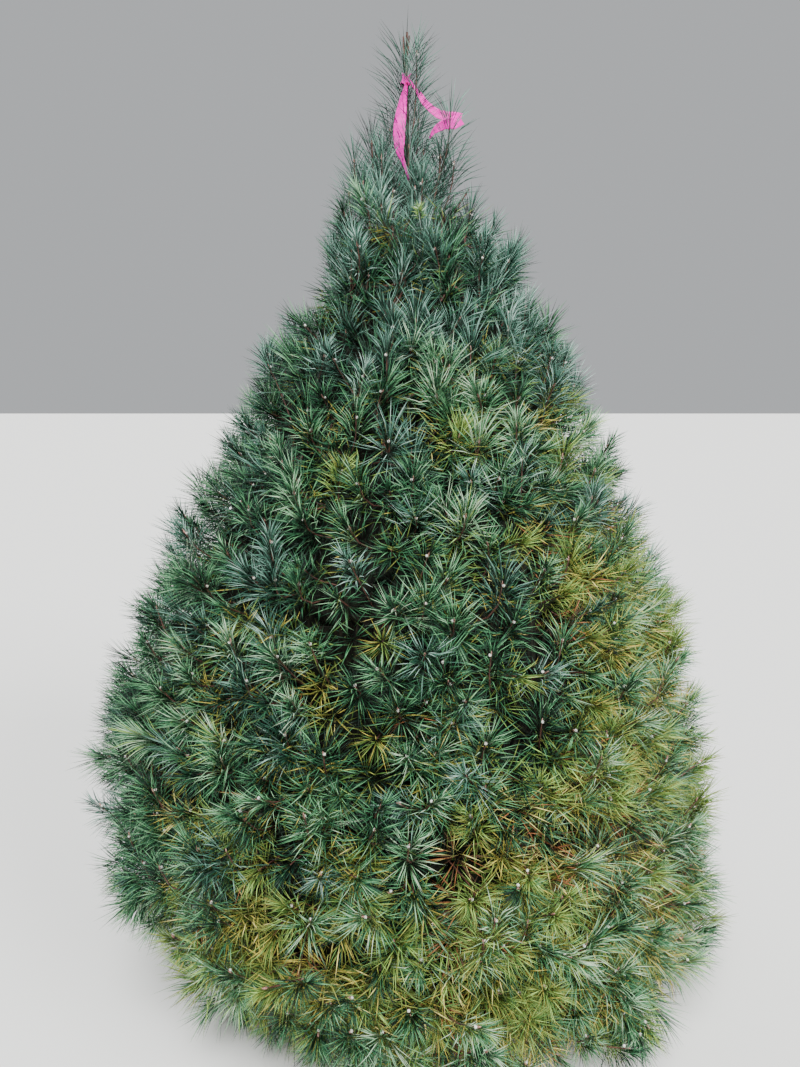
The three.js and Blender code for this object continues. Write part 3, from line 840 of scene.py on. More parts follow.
def twig_tree(material):
    """Tapering round twigs along mesh lines."""
    tree, node, given = new_tree("Twigs along lines", "Twigs", {"Lines": "Geometry", "Sides": "Int"})
    (radius, _) = node("GeometryNodeInputNamedAttribute", {"Name": "radius"})
    (curves,) = node("GeometryNodeMeshToCurve", {"Mesh": given["Lines"]})
    (ring,) = node("GeometryNodeCurvePrimitiveCircle", {"Resolution": given["Sides"], "Radius": 1.0})
    along_lines = {"Curve": curves, "Profile Curve": ring, "Scale": radius, "Fill Caps": True}
    (twigs,) = node("GeometryNodeCurveToMesh", along_lines)
    node("NodeGroupOutput", {"Twigs": realized(tree, twigs, material)})
    return tree


def bud_tree(scales, resin):
    """A bud on the tip of each shoot, and a bead of dried resin on most."""
    tree, node, given = new_tree(
        "Buds on tips",
        "Buds",
        {
            "Tips": "Geometry",
            "Bud": "Object",
            "Bud Length": "Float",
            "Resin Size": "Float",
            "Resin Share": "Float",
            "Seed": "Int",
        },
    )
    (heading, _) = node("GeometryNodeInputNamedAttribute", {"Name": "heading"}, data_type="FLOAT_VECTOR")
    (size, _) = node("GeometryNodeInputNamedAttribute", {"Name": "size"})
    (points,) = node("GeometryNodeMeshToPoints", {"Mesh": given["Tips"]})
    (facing,) = node("FunctionNodeAlignRotationToVector", {"Vector": heading}, axis="Z")
    (length,) = node("ShaderNodeMath", {0: size, 1: given["Bud Length"]}, operation="MULTIPLY")
    bud = node("GeometryNodeObjectInfo", {"Object": given["Bud"]})[-1]
    on_tips = {"Points": points, "Instance": bud, "Rotation": facing, "Scale": length}
    (buds,) = node("GeometryNodeInstanceOnPoints", on_tips)

    # A bead sits on the bud's foot, a little to one side of it by chance
    (drawn,) = node("FunctionNodeRandomValue", {"Min": 0.0, "Max": 1.0, "Seed": given["Seed"]})
    wanted = {"A": drawn, "B": given["Resin Share"]}
    (beaded,) = node("FunctionNodeCompare", wanted, data_type="FLOAT", operation="LESS_THAN")
    bead = node("GeometryNodeMeshIcoSphere", {"Radius": 1.0, "Subdivisions": 1})[0]
    span = {"Min": RESIN_LOWEST, "Max": RESIN_HIGHEST, "Seed": given["Seed"]}
    (aside,) = node("FunctionNodeRandomValue", span, data_type="FLOAT_VECTOR")
    (aside,) = node("ShaderNodeVectorMath", {0: aside, "Scale": given["Resin Size"]}, operation="SCALE")
    (set_aside,) = node("GeometryNodeSetPosition", {"Geometry": points, "Offset": aside})
    on_buds = {"Points": set_aside, "Selection": beaded, "Instance": bead, "Scale": given["Resin Size"]}
    (beads,) = node("GeometryNodeInstanceOnPoints", on_buds)
    (joined,) = node(
        "GeometryNodeJoinGeometry",
        {"Geometry": [realized(tree, buds, scales), realized(tree, beads, resin)]},
    )
    node("NodeGroupOutput", {"Buds": joined})
    return tree


def grow_through(piece, tree, inputs):
    """Runs a geometry tree on a piece and keeps the result as its plain mesh."""
    modifier = piece.modifiers.new(tree.name, "NODES")
    modifier.node_group = tree
    for item in tree.interface.items_tree:
        if item.in_out == "INPUT" and item.name in inputs:
            modifier[item.identifier] = inputs[item.name]
    result = piece.evaluated_get(bpy.context.evaluated_depsgraph_get())
    mesh = bpy.data.meshes.new_from_object(result)
    piece.modifiers.clear()
    lines = piece.data
    stored = [attribute.name for attribute in lines.attributes if not attribute.is_internal]
    piece.data = mesh
    bpy.data.meshes.remove(lines)
    for name in stored:
        if name != "position" and name in mesh.attributes:
            mesh.attributes.remove(mesh.attributes[name])
    if not mesh.polygons:
        raise RuntimeError(f"{piece.name} came out empty")


def new_piece(name, vertices, edges, faces):
    """A mesh object in the scene, at the origin."""
    mesh = bpy.data.meshes.new(name)
    mesh.from_pydata(vertices, edges, faces)
    mesh.validate()
    piece = bpy.data.objects.new(name, mesh)
    bpy.context.scene.collection.objects.link(piece)
    return piece


def line_piece(name, lines):
    """A mesh of separate lines, each a list of points."""
    vertices, edges = [], []
    for line in lines:
        first = len(vertices)
        vertices += line
        edges += [(first + i, first + i + 1) for i in range(len(line) - 1)]
    return new_piece(name, vertices, edges, [])


def store(piece, name, kind, values):
    """Writes one value for each vertex to a named attribute."""
    attribute = piece.data.attributes.new(name, kind, "POINT")
    field = "vector" if kind == "FLOAT_VECTOR" else "value"
    for item, value in zip(attribute.data, values):
        setattr(item, field, value)


def skin(rings):
    """A closed surface through closed rings of as many points each, with a flat face on both ends."""
    sides = len(rings[0])
    vertices = [point for ring in rings for point in ring]
    faces = []
    for first in range(0, len(vertices) - sides, sides):
        for i in range(sides):
            here, beside = first + i, first + (i + 1) % sides
            faces.append((here, beside, beside + sides, here + sides))
    faces.append(tuple(reversed(range(sides))))
    faces.append(tuple(range(len(vertices) - sides, len(vertices))))
    return vertices, faces


def joined(parts):
    """Several (vertices, faces) as one."""
    vertices, faces = [], []
    for part_vertices, part_faces in parts:
        first = len(vertices)
        vertices += part_vertices
        faces += [tuple(first + i for i in face) for face in part_faces]
    return vertices, faces


def circle(sides):
    """The angles of a ring's points."""
    return [2 * math.pi * i / sides for i in range(sides)]


def bent_needle():
    """One needle of unit length and unit width: closed, three-sided and slightly bent."""
    ring_height = 0.55
    bent = 3.0  # widths off the straight line
    vertices = [(0, 0, 0)]
    vertices += [(0.5 * math.cos(a), bent + 0.5 * math.sin(a), ring_height) for a in circle(3)]
    vertices.append((0, 0, 1))
    faces = [(0, 1 + (i + 1) % 3, 1 + i) for i in range(3)]
    faces += [(1 + i, 1 + (i + 1) % 3, 4) for i in range(3)]
    return new_piece("Needle", vertices, [], faces)


def plain_needle():
    """A plainer needle for the inside of the crown: a closed sliver of four faces, widest half-way."""
    vertices = [(0, 0, 0), (-0.5, 0.87, 0.5), (0.5, 0.87, 0.5), (0, 0, 1)]
    return new_piece("Needle", vertices, [], [(0, 1, 2), (3, 2, 1), (0, 3, 1), (0, 2, 3)])


def bud_mesh():
    """One bud of unit length: a slim pointed egg."""
    turns = circle(BUD_SIDES)
    rings = []
    for height, radius in BUD_RINGS:
        rings.append([(radius * math.cos(a), radius * math.sin(a), height) for a in turns])
    vertices, faces = skin(rings)
    last_ring = faces.pop()
    vertices.append((0, 0, 1))
    for i, corner in enumerate(last_ring):
        faces.append((corner, last_ring[(i + 1) % BUD_SIDES], len(vertices) - 1))
    return new_piece("Bud", vertices, [], faces)


def needles_on(name, sprays, needle, width, droop, darker, paler):
    """One piece of needles round many sprays."""
    piece = line_piece(name, [spray.points for spray in sprays])
    for field, kind in (("needles", "INT"), ("tint", "INT"), ("length", "FLOAT")):
        store(piece, field, kind, [getattr(spray, field) for spray in sprays for _ in spray.points])
    openings = [tapering(s.foot_opening, s.tip_opening, len(s.points) - 1) for s in sprays]
    store(piece, "opening", "FLOAT", [opening for row in openings for opening in row])
    materials = needle_materials(bpy.context.scene.pine_colours)
    needle.data.materials.append(materials[0])
    inputs = {
        "Needle": needle,
        "Needle Width": width,
        "Droop": droop,
        "Darker": darker,
        "Paler": paler,
        "Seed": NEEDLE_SEED,
    }
    grow_through(piece, needle_tree(materials), inputs)
    bpy.data.objects.remove(needle)
    return piece


def place(piece, slot, *nodes):
    """Says what the piece rides on and the solids it stands for; the slot, its finish, is not used."""
    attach(piece, "root")
    if nodes:
        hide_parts(*nodes)


def put(name, data, location, rotation):
    """Puts a lamp or a camera in the scene."""
    holder = bpy.data.objects.new(name, data)
    holder.location = location
    holder.rotation_euler = rotation
    bpy.context.scene.collection.objects.link(holder)
    return holder


def nodes_named(part):
    return [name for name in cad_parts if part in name]


def new_material(name):
    """A node material of that name, emptied: the material, a function that adds nodes to it, and its Object
    coordinates."""
    material = bpy.data.materials.get(name) or bpy.data.materials.new(name)
    material.use_nodes = True
    material.node_tree.nodes.clear()
    node = functools.partial(add_node, material.node_tree)
    return material, node, node("ShaderNodeTexCoord")[OBJECT_COORDINATES]


def finish_surface(node, joins):
    """Ends a material in one Principled shader."""
    (shader,) = node("ShaderNodeBsdfPrincipled", joins)
    node("ShaderNodeOutputMaterial", {"Surface": shader})


def per_metre(millimetres):
    """A pattern's scale in Object coordinates, from the size of its features."""
    return 1000 / millimetres


def needle_materials(colours):
    """Pine needles: a smooth cuticle with a thin bloom of wax that lies pale on it and dulls its gloss.
    Each tint is one plain colour, dealt out by spray."""
    made = []
    for tint in TINTS:
        live = tint in LIVE_TINTS
        material, node, _ = new_material(f"Waxy needles {tint}" if live else f"Dry needles {tint}")
        look = {"Base Color": getattr(colours, f"needle_{tint}"), "Roughness": 0.42 if live else 0.62}
        finish_surface(node, {**look, "IOR": 1.45, "Specular IOR Level": 0.32})
        made.append(material)
    return made


def twig_bark(colours):
    """Bark of young pine twigs: thin, smooth and red-brown, with pale lenticels and a slight gloss."""
    material, node, at = new_material("Young red-brown bark")
    patches, _ = node("ShaderNodeTexNoise", {"Vector": at, "Scale": per_metre(TWIG_PATCH), "Detail": 4.0})
    pores, _ = node("ShaderNodeTexNoise", {"Vector": at, "Scale": per_metre(TWIG_PORE), "Detail": 2.0})
    shades = ((0.35, colours.twig_dark), (0.68, colours.twig_light))
    colour, _ = node("ShaderNodeValToRGB", {"Fac": patches}, color_ramp=shades)
    (bump,) = node("ShaderNodeBump", {"Strength": 0.5, "Distance": 0.0006, "Height": pores})
    finish_surface(node, {"Base Color": colour, "Roughness": 0.6, "Normal": bump})
    return material


def trunk_bark(colours):
    """Bark of a young pine trunk: grey-brown plates between dark vertical cracks, dull and dry."""
    material, node, at = new_material("Cracked grey-brown bark")
    (drawn_out,) = node("ShaderNodeMapping", {"Vector": at, "Scale": (1.0, 1.0, 0.28)})
    plates = {"Vector": drawn_out, "Scale": per_metre(TRUNK_PLATE), "Randomness": 1.0}
    (edges,) = node("ShaderNodeTexVoronoi", plates, feature="DISTANCE_TO_EDGE")
    (crack,) = node("ShaderNodeMapRange", {"Value": edges, "From Min": 0.0, "From Max": 0.12})
    dust, _ = node("ShaderNodeTexNoise", {"Vector": drawn_out, "Scale": per_metre(TRUNK_DUST), "Detail": 6.0})
    shades = ((0.3, colours.trunk_dark), (0.7, colours.trunk_light))
    plates, _ = node("ShaderNodeValToRGB", {"Fac": dust}, color_ramp=shades)
    cracked = {"Factor": crack, "A": colours.trunk_crack, "B": plates}
    (colour,) = node("ShaderNodeMix", cracked, data_type="RGBA")
    (relief,) = node("ShaderNodeMath", {0: dust, 1: 0.35, 2: crack}, operation="MULTIPLY_ADD")
    (bump,) = node("ShaderNodeBump", {"Strength": 0.7, "Distance": 0.002, "Height": relief})
    finish_surface(node, {"Base Color": colour, "Roughness": 0.86, "Normal": bump})
    return material


def bud_scales(colours):
    """Scales of a winter bud: thin, papery and pinkish brown, each edged a little paler."""
    material, node, at = new_material("Papery bud scales")
    scales = node("ShaderNodeTexVoronoi", {"Vector": at, "Scale": per_metre(BUD_SCALE)}, feature="F1")[0]
    shades = ((0.15, colours.bud_dark), (0.75, colours.bud_light))
    colour, _ = node("ShaderNodeValToRGB", {"Fac": scales}, color_ramp=shades)
    (bump,) = node("ShaderNodeBump", {"Strength": 0.6, "Distance": 0.0008, "Height": scales})
    finish_surface(node, {"Base Color": colour, "Roughness": 0.55, "Normal": bump})
    return material


def dried_resin(colours):
    """Pine resin dried to white beads: smooth, glossy and cloudy."""
    material, node, at = new_material("Dried white resin")
    cloud, _ = node("ShaderNodeTexNoise", {"Vector": at, "Scale": per_metre(RESIN_CLOUD), "Detail": 2.0})
    shades = ((0.3, colours.resin_amber), (0.55, colours.resin_white))
    colour, _ = node("ShaderNodeValToRGB", {"Fac": cloud}, color_ramp=shades)
    finish_surface(node, {"Base Color": colour, "Roughness": 0.3, "IOR": 1.54})
    return material


def tape_film(colours):
    """Vinyl flagging tape: a thin coloured film, glossy, with fine stretch marks across it, which carry
    a darker copy of its colour as painted shade.
    """
    material, node, at = new_material("Glossy vinyl tape")
    (across,) = node("ShaderNodeMapping", {"Vector": at, "Scale": (0.4, 0.4, 1.0)})
    marks, _ = node("ShaderNodeTexNoise", {"Vector": across, "Scale": per_metre(TAPE_MARK), "Detail": 3.0})
    # The marks run to the tape's shaded copy: painted shade in streaks
    shades = ((0.2, colours.tape_shade), (0.6, colours.tape))
    colour, _ = node("ShaderNodeValToRGB", {"Fac": marks}, color_ramp=shades)
    (bump,) = node("ShaderNodeBump", {"Strength": 0.35, "Distance": 0.0008, "Height": marks})
    look = {"Base Color": colour, "Roughness": 0.5, "Specular IOR Level": 0.25, "Normal": bump}
    finish_surface(node, look)
    return material


def painted_shade_growth(colours):
    """Old needles and bare twigs deep in the crown, coloured as painted shade: dull and almost black,
    with brown and dark green, both darkened as shade, in streaks about as wide as a bundle of needles."""
    material, node, at = new_material("Shaded inner growth")
    drawing = {"Vector": at, "Rotation": (0.5, 0.3, 0), "Scale": (1, 1, 0.12)}
    (drawn_out,) = node("ShaderNodeMapping", drawing)
    streaks, _ = node("ShaderNodeTexNoise", {"Vector": drawn_out, "Scale": per_metre(STREAK), "Detail": 3.0})
    patches, _ = node("ShaderNodeTexNoise", {"Vector": at, "Scale": per_metre(CORE_PATCH), "Detail": 2.0})
    mixing = {"Factor": patches}
    # Each ramp runs from near-black painted shade to brown or dark green, darkened as shade
    for side, shade in (("A", colours.core_brown), ("B", colours.core_green)):
        shades = ((0.4, colours.core_black), (0.7, shade))
        mixing[side], _ = node("ShaderNodeValToRGB", {"Fac": streaks}, color_ramp=shades)
    (colour,) = node("ShaderNodeMix", mixing, data_type="RGBA")
    (bump,) = node("ShaderNodeBump", {"Strength": 0.8, "Distance": 0.003, "Height": streaks})
    finish_surface(node, {"Base Color": colour, "Roughness": 0.9, "Specular IOR Level": 0.2, "Normal": bump})
    return material


def bough_relief(angle, point):
    round_bough = (math.cos(angle) * BOUGH_GRAIN_ROUND, math.sin(angle) * BOUGH_GRAIN_ROUND)
    return BOUGH_GRAIN * noise.noise(Vector((*round_bough, point.length * BOUGH_GRAINS_PER_METRE)))


def tube(points, radii, sides, relief):
    """A closed tube along points, its radius changed at each vertex by relief(angle, point)."""
    rings = []
    last = len(points) - 1
    for k, point in enumerate(points):
        ahead = (points[min(k + 1, last)] - points[max(k - 1, 0)]).normalized()
        side = ahead.orthogonal().normalized() if k == 0 else (side - ahead * side.dot(ahead)).normalized()
        over = ahead.cross(side)
        ring = []
        for angle in circle(sides):
            out = side * math.cos(angle) + over * math.sin(angle)
            ring.append(point + out * (radii[k] + relief(angle, point)))
        rings.append(ring)
    return skin(rings)


def swelling_at(azimuth, height, radius, roots):
    """How far the trunk swells round the roots of its boughs."""
    swelling = 0
    for bough_azimuth, bough_height in roots:
        if abs(height - bough_height) < SWELLING_REACH:
            turn = math.remainder(azimuth - bough_azimuth, 2 * math.pi)
            off = math.hypot(turn * radius, height - bough_height)
            swelling += SWELLING * radius * math.exp(-((off / SWELLING_WIDTH) ** 2))
    return swelling


def trunk_surface(relief):
    """The trunk's skin: root lobes, long bark plates that fade with height, and a swelling where each bough
    comes out of the trunk, a few steps along its line."""
    roots = [(math.atan2(b.points[3].y, b.points[3].x), b.points[2].z) for b in grown().boughs]
    rings = []
    for share in tapering(0, 1, TRUNK_RINGS):
        height = TRUNK[-1][0] * share**RINGS_CLOSER_BELOW
        radius = along(TRUNK, height)
        foot = clamp(1 - height / ROOT_FLARE_HEIGHT, 0, 1)
        foot = foot * foot * (3 - 2 * foot)
        depth = relief * along(PLATES_FADE, height)
        ring = []
        for azimuth in circle(TRUNK_SIDES):
            round_trunk = (math.cos(azimuth) * PLATES_ROUND, math.sin(azimuth) * PLATES_ROUND)
            grain = noise.noise(Vector((*round_trunk, height * PLATES_PER_METRE)))
            whole = radius * (1 + ROOT_LOBE_SHARE * foot * math.cos(ROOT_LOBES * azimuth))
            whole += depth * (1 - PLATE_SHARPNESS * abs(grain))
            whole += swelling_at(azimuth, height, radius, roots)
            middle = Vector((trunk_middle(height), 0, height))
            ring.append(middle + Vector((whole * math.cos(azimuth), whole * math.sin(azimuth), 0)))
        rings.append(ring)
    return skin(rings)


def inner_growth_surface():
    """The shaded inside of the crown: twigs and old needles too dense to see through, as one closed skin of
    pointed tufts that lean up and out."""
    rings = []
    for k, height in enumerate(tapering(CORE_FOOT, CORE_TOP, CORE_RINGS)):
        ring = []
        for i in range(CORE_SIDES):
            azimuth = 2 * math.pi * (i + 0.5 * (k % 2)) / CORE_SIDES
            x, y = math.cos(azimuth), math.sin(azimuth)
            whole = outline_radius(height, azimuth)
            radius = whole - min(CORE_DEPTH, CORE_DEEPEST_SHARE * whole)
            wave_at = (x * CORE_WAVES_ROUND, y * CORE_WAVES_ROUND, height * CORE_WAVES_PER_METRE)
            radius *= 1 + CORE_UNEVEN * noise.noise(Vector(wave_at))
            ring.append(Vector((radius * x, radius * y, height)))
        rings.append(ring)
    vertices, faces = skin(rings)
    *sides, foot, top = faces
    tufts = []
    for key, corners in enumerate(sides):
        middle = sum((vertices[corner] for corner in corners), Vector()) / 4
        lean = heading_near(math.atan2(middle.y, middle.x), middle.z, key)
        tufts += [(corner, corners[(c + 1) % 4], len(vertices)) for c, corner in enumerate(corners)]
        vertices.append(middle + lean * lerp(*TUFT_LENGTHS, chance(key, 51)))
    return vertices, [*tufts, foot, top]


def ribbon(rows):
    """A thin closed strip through rows of middle, direction across, width and cupping."""
    rings = []
    for k, (middle, across, width, cupping) in enumerate(rows):
        ahead = rows[min(k + 1, len(rows) - 1)][0] - rows[max(k - 1, 0)][0]
        across = (across - ahead * (across.dot(ahead) / ahead.length_squared)).normalized()
        facing = across.cross(ahead).normalized()
        line = []
        for share in tapering(-1, 1, TAPE_COLUMNS - 1):
            line.append(middle + across * (width / 2 * share) - facing * (cupping * share * share))
        front = [point + facing * (TAPE_THICKNESS / 2) for point in line]
        back = [point - facing * (TAPE_THICKNESS / 2) for point in line]
        rings.append(front + back[::-1])
    return skin(rings)


def tape_strips(width):
    """The loop round the leader, the two loose ends and the flap, each as a ribbon's rows."""
    loop = []
    for angle in [*circle(KNOT_STEPS), 2 * math.pi]:
        rise = KNOT_WAVE * math.sin(2 * angle + KNOT_WAVE_START)
        around = Vector((KNOT_RADIUS * math.cos(angle), KNOT_RADIUS * math.sin(angle), rise))
        share = KNOT_WIDTH + KNOT_WIDTH_CHANGE * math.cos(2 * angle)
        loop.append((KNOT_MIDDLE + around, KNOT_ACROSS, width * share, KNOT_CUPPING))
    strips = [loop]
    for rows in (TAPE_LEFT, TAPE_RIGHT, TAPE_FLAP):
        strips.append([(Vector(m), Vector(a), width * share, cupping) for m, a, share, cupping in rows])
    return strips


def length_property(name, description, default, low):
    return bpy.props.FloatProperty(
        name=name, description=description, default=default, min=low, unit="LENGTH"
    )


def count_property(name, description, default, low):
    return bpy.props.IntProperty(name=name, description=description, default=default, min=low)


def colour_property(name, description, code):
    return bpy.props.FloatVectorProperty(
        name=name, description=description, subtype="COLOR", size=4, min=0, max=1, default=linear(code)
    )


class PineSizes(bpy.types.PropertyGroup):
    """Real sizes of the pine's pieces, and counts."""

    needle_length: length_property("Needle Length", "Length of a green needle", 0.094, 0.03)
    needle_width: length_property("Needle Width", "Width of a needle that stands for five", 0.0020, 0.0005)
    needles_per_shoot: count_property("Needles per Shoot", "Needles on one outer shoot", 88, 10)
    old_needle_length: length_property("Old Needle Length", "Length of an inner needle", 0.085, 0.03)
    old_needle_width: length_property("Old Needle Width", "Width of an inner needle", 0.0024, 0.001)
    needles_per_old_spray: count_property("Needles per Inner Twig", "Needles on one inner twig", 12, 3)
    needles_per_side_shoot: count_property("Needles per Side Shoot", "Needles on one weak shoot", 32, 3)
    shoot_spacing: length_property("Shoot Spacing", "Longest side of the patch one shoot fills", 0.134, 0.06)
    bud_length: length_property("Bud Length", "Length of a winter bud", 0.013, 0.004)
    resin_size: length_property("Resin Bead", "Radius of a bead of resin", 0.0040, 0.0005)
    bark_relief: length_property("Bark Relief", "Depth of the cracks at the trunk's foot", 0.003, 0)
    tape_width: length_property("Tape Width", "Width of the marker tape", 0.03, 0.005)


class PineColours(bpy.types.PropertyGroup):
    """Colours of the pine's needles, bark, buds and tape."""

    # Frost and wax are partly real wax lines, partly painted highlight; night and shade are painted shade
    needle_frost: colour_property("Frosted Needle", "Blue needles that show their wax lines", "#9fbdb0")
    needle_mist: colour_property("Misty Needle", "Blue needles with a bloom of wax", "#729989")
    needle_teal: colour_property("Teal Needle", "Blue needles near the top", "#4a7564")
    needle_slate: colour_property("Slate Needle", "Deep blue needles near the top", "#2a5242")
    needle_night: colour_property("Night Needle", "Blue needles in the shade", "#14281f")
    needle_shade: colour_property("Shaded Needle", "Inner green needles", "#0b1b12")
    needle_deep: colour_property("Deep Needle", "Deep green needles", "#1e432e")
    needle_middle: colour_property("Middle Needle", "Most outer needles", "#396d4a")
    needle_soft: colour_property("Soft Needle", "Lighter outer needles", "#629b6b")
    needle_pale: colour_property("Pale Needle", "Needles with a bloom of wax", "#8fb890")
    needle_wax: colour_property("Waxed Needle", "Needles that show their wax lines", "#bad1b1")
    needle_fresh: colour_property("Fresh Needle", "A young shoot's needles", "#a2c468")
    needle_leaf: colour_property("Leaf-green Needle", "Needles that lose their blue", "#7f9f4c")
    needle_fern: colour_property("Fern-green Needle", "Outer needles near the yellowing ones", "#52773a")
    needle_moss: colour_property("Moss Needle", "Needles that start to yellow", "#627334")
    needle_olive: colour_property("Olive Needle", "Yellowing needles", "#898f43")
    needle_gold: colour_property("Gold Needle", "Yellow needles", "#bcae50")
    needle_straw: colour_property("Straw Needle", "Needles about to drop", "#dacf80")
    needle_rust: colour_property("Rust Needle", "Dead needles", "#97603c")
    needle_umber: colour_property("Umber Needle", "Dead needles in the shade", "#513b28")
    # Colours of the inner growth: near-black painted shade, and brown and green darkened as shade
    core_black: colour_property("Inner Black", "Deepest shade in the crown", "#0d0f0c")
    core_brown: colour_property("Inner Brown", "Dead needles deep in the crown", "#33251a")
    core_green: colour_property("Inner Green", "Green needles deep in the crown", "#1c2d22")
    twig_dark: colour_property("Dark Twig", "Twig bark in its hollows", "#3d2622")
    twig_light: colour_property("Light Twig", "Twig bark on its ridges", "#764c40")
    trunk_crack: colour_property("Trunk Crack", "Cracks of the trunk's bark", "#241d1a")
    trunk_dark: colour_property("Dark Plate", "Darker bark plates", "#4c4038")
    trunk_light: colour_property("Light Plate", "Lighter bark plates", "#81756a")
    bud_dark: colour_property("Dark Bud", "Bud scales", "#7d4a42")
    bud_light: colour_property("Light Bud", "Edges of bud scales", "#b98d7f")
    resin_white: colour_property("White Resin", "Dried resin", "#e9ebe6")
    resin_amber: colour_property("Amber Resin", "Thicker resin", "#cfc3a4")
    tape: colour_property("Tape", "Marker tape", "#ff00c0")
    tape_shade: colour_property("Tape Shade", "Marker tape in its folds", "#d000a0")
    floor: colour_property("Floor", "Studio floor", "#e4e4e1")


class PINE_OT_trunk_and_boughs(bpy.types.Operator):
    """Adds the trunk and boughs with their bark relief"""

    bl_idname = "pine.trunk_and_boughs"
    bl_label = "Trunk and Boughs"

    def execute(self, context):
        parts = [trunk_surface(context.scene.pine_sizes.bark_relief)]
        for bough in grown().boughs:
            parts.append(tube(bough.points, bough.radii, BOUGH_SIDES, bough_relief))
        vertices, faces = joined(parts)
        piece = new_piece("trunk_and_boughs", vertices, [], faces)
        piece.data.materials.append(trunk_bark(context.scene.pine_colours))
        piece.data.shade_smooth()
        place(piece, "trunk_bark", "trunk", *nodes_named("_bough_"))
        return {"FINISHED"}


class PINE_OT_twigs(bpy.types.Operator):
    """Adds the twigs that carry the foliage"""

    bl_idname = "pine.twigs"
    bl_label = "Twigs"

    def execute(self, context):
        twigs = grown().twigs
        piece = line_piece("twigs", [twig.points for twig in twigs])
        store(piece, "radius", "FLOAT", [radius for twig in twigs for radius in twig.radii])
        grow_through(piece, twig_tree(twig_bark(context.scene.pine_colours)), {"Sides": TWIG_SIDES})
        place(piece, "twig_bark")
        return {"FINISHED"}


class PINE_OT_outer_needles(bpy.types.Operator):
    """Adds the green needles of the outer shoots, one piece for each whorl"""

    bl_idname = "pine.outer_needles"
    bl_label = "Outer Needles"

    def execute(self, context):
        width = context.scene.pine_sizes.needle_width
        for tier in TIERS[:-1]:
            sprays = [spray for spray in grown().outer if spray.place == tier.name]
            droop, paler = along(DROOP, tier.rim), along(PALER, tier.rim)
            piece = needles_on(f"needles_{tier.name}", sprays, bent_needle(), width, droop, DARKER, paler)
            place(piece, "needles", *nodes_named(f"{tier.name}_foliage_"))
        return {"FINISHED"}


class PINE_OT_inner_needles(bpy.types.Operator):
    """Adds the older needles inside the crown"""

    bl_idname = "pine.inner_needles"
    bl_label = "Inner Needles"

    def execute(self, context):
        width = context.scene.pine_sizes.old_needle_width
        low = ("skirt", "lower")
        for name, wanted in (("old_needles_low", True), ("old_needles_high", False)):
            sprays = [spray for spray in grown().inner if (spray.place in low) == wanted]
            needle = plain_needle()
            piece = needles_on(name, sprays, needle, width, INNER_DROOP, INNER_DARKER, INNER_PALER)
            place(piece, "old_needles")
        return {"FINISHED"}


class PINE_OT_inner_growth(bpy.types.Operator):
    """Adds the growth deep in the crown, its near-black colour painted shade"""

    bl_idname = "pine.inner_growth"
    bl_label = "Inner Growth"

    def execute(self, context):
        vertices, faces = inner_growth_surface()
        piece = new_piece("inner_growth", vertices, [], faces)
        piece.data.materials.append(painted_shade_growth(context.scene.pine_colours))
        place(piece, "old_needles")
        return {"FINISHED"}


class PINE_OT_buds(bpy.types.Operator):
    """Adds the winter buds and their beads of resin"""

    bl_idname = "pine.buds"
    bl_label = "Buds"

    def execute(self, context):
        sizes, colours = context.scene.pine_sizes, context.scene.pine_colours
        buds = grown().buds
        piece = new_piece("buds", [bud.point for bud in buds], [], [])
        store(piece, "heading", "FLOAT_VECTOR", [bud.heading for bud in buds])
        store(piece, "size", "FLOAT", [bud.size for bud in buds])
        scales = bud_scales(colours)
        bud = bud_mesh()
        bud.data.materials.append(scales)
        inputs = {
            "Bud": bud,
            "Bud Length": sizes.bud_length,
            "Resin Size": sizes.resin_size,
            "Resin Share": RESIN_SHARE,
            "Seed": RESIN_SEED,
        }
        grow_through(piece, bud_tree(scales, dried_resin(colours)), inputs)
        bpy.data.objects.remove(bud)
        place(piece, "buds")
        return {"FINISHED"}


class PINE_OT_marker_tape(bpy.types.Operator):
    """Ties the strip of marker tape round the leader"""

    bl_idname = "pine.marker_tape"
    bl_label = "Marker Tape"

    def execute(self, context):
        strips = tape_strips(context.scene.pine_sizes.tape_width)
        vertices, faces = joined([ribbon(strip) for strip in strips])
        piece = new_piece("marker_tape", vertices, [], faces)
        piece.data.materials.append(tape_film(context.scene.pine_colours))
        piece.data.shade_smooth()
        place(piece, "marker_tape")
        return {"FINISHED"}


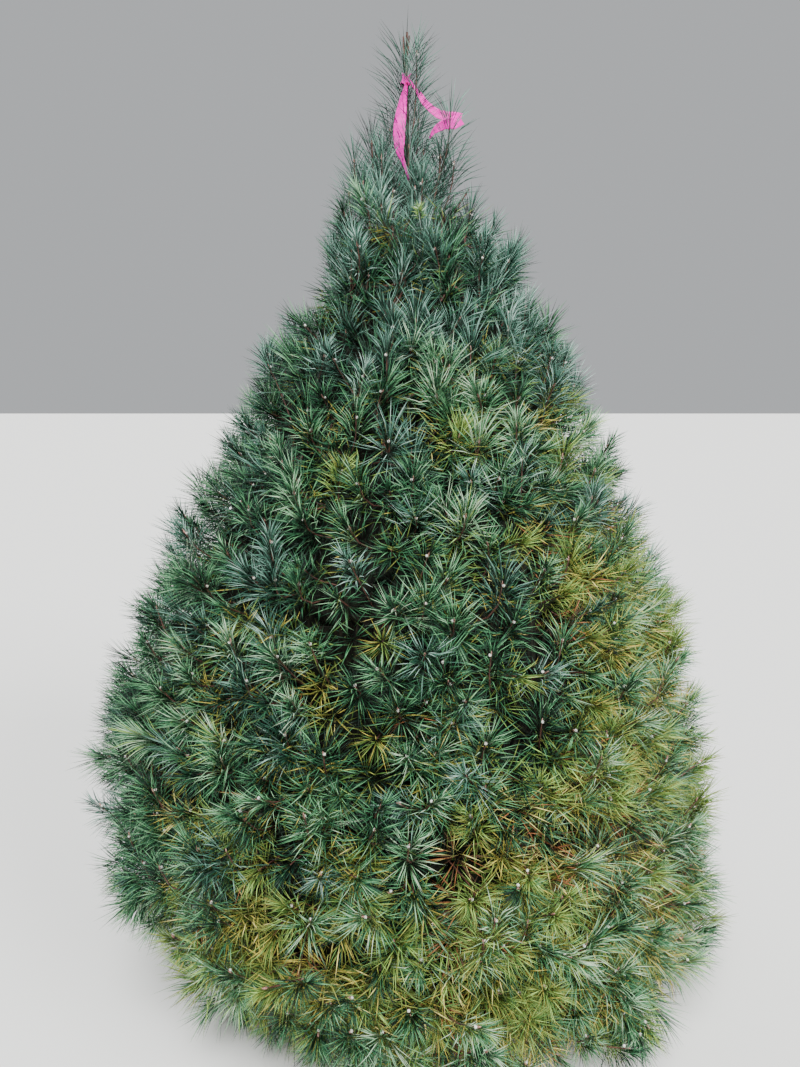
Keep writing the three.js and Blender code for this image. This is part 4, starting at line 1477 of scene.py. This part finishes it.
class PINE_OT_stage(bpy.types.Operator):
    """Adds the pale floor, soft studio light and the camera"""

    bl_idname = "pine.stage"
    bl_label = "Stage"

    def execute(self, context):
        scene = context.scene
        half = FLOOR_HALF
        corners = [(-half, -half, 0), (half, -half, 0), (half, half, 0), (-half, half, 0)]
        floor = new_piece("floor", corners, [], [(0, 1, 2, 3)])
        material, node, _ = new_material("Matt pale floor")
        finish_surface(node, {"Base Color": scene.pine_colours.floor, "Roughness": 0.9})
        floor.data.materials.append(material)

        scene.world = bpy.data.worlds.new("Soft studio")
        scene.world.use_nodes = True
        background = scene.world.node_tree.nodes["Background"]
        background.inputs["Color"].default_value = linear(WORLD_COLOUR)
        background.inputs["Strength"].default_value = WORLD_STRENGTH
        for lamp in LAMPS:
            light = bpy.data.lights.new(lamp.name, "SUN")
            light.angle = math.radians(lamp.degrees)
            light.energy = lamp.strength
            put(lamp.name, light, lamp.place, Vector(lamp.place).to_track_quat("Z", "Y").to_euler())

        camera = bpy.data.cameras.new("Camera")
        camera.sensor_width = CAMERA_SENSOR
        camera.lens = CAMERA_LENS
        camera.shift_x = CAMERA_SHIFT
        scene.camera = put("Camera", camera, CAMERA_PLACE, (CAMERA_PITCH, 0, 0))
        return {"FINISHED"}


OPERATORS = (
    PINE_OT_trunk_and_boughs,
    PINE_OT_twigs,
    PINE_OT_outer_needles,
    PINE_OT_inner_needles,
    PINE_OT_inner_growth,
    PINE_OT_buds,
    PINE_OT_marker_tape,
    PINE_OT_stage,
)


class PINE_PT_tree(bpy.types.Panel):
    """Lists the pieces of the pine, its sizes and its colours"""

    bl_label = "Sheared White Pine"
    bl_space_type = "VIEW_3D"
    bl_region_type = "UI"
    bl_category = "Pine"

    def draw(self, context):
        for operator in OPERATORS:
            self.layout.operator(operator.bl_idname)
        for group in (context.scene.pine_sizes, context.scene.pine_colours):
            box = self.layout.box()
            for name in group.__annotations__:
                box.prop(group, name)


CLASSES = (PineSizes, PineColours, *OPERATORS, PINE_PT_tree)


def register():
    for kind in CLASSES:
        bpy.utils.register_class(kind)
    bpy.types.Scene.pine_sizes = bpy.props.PointerProperty(type=PineSizes)
    bpy.types.Scene.pine_colours = bpy.props.PointerProperty(type=PineColours)


def unregister():
    del bpy.types.Scene.pine_sizes
    del bpy.types.Scene.pine_colours
    for kind in reversed(CLASSES):
        bpy.utils.unregister_class(kind)


def main():
    register()
    bpy.ops.pine.trunk_and_boughs()
    bpy.ops.pine.twigs()
    bpy.ops.pine.outer_needles()
    bpy.ops.pine.inner_needles()
    bpy.ops.pine.inner_growth()
    bpy.ops.pine.buds()
    bpy.ops.pine.marker_tape()
    bpy.ops.pine.stage()


if __name__ == "__main__":
    main()
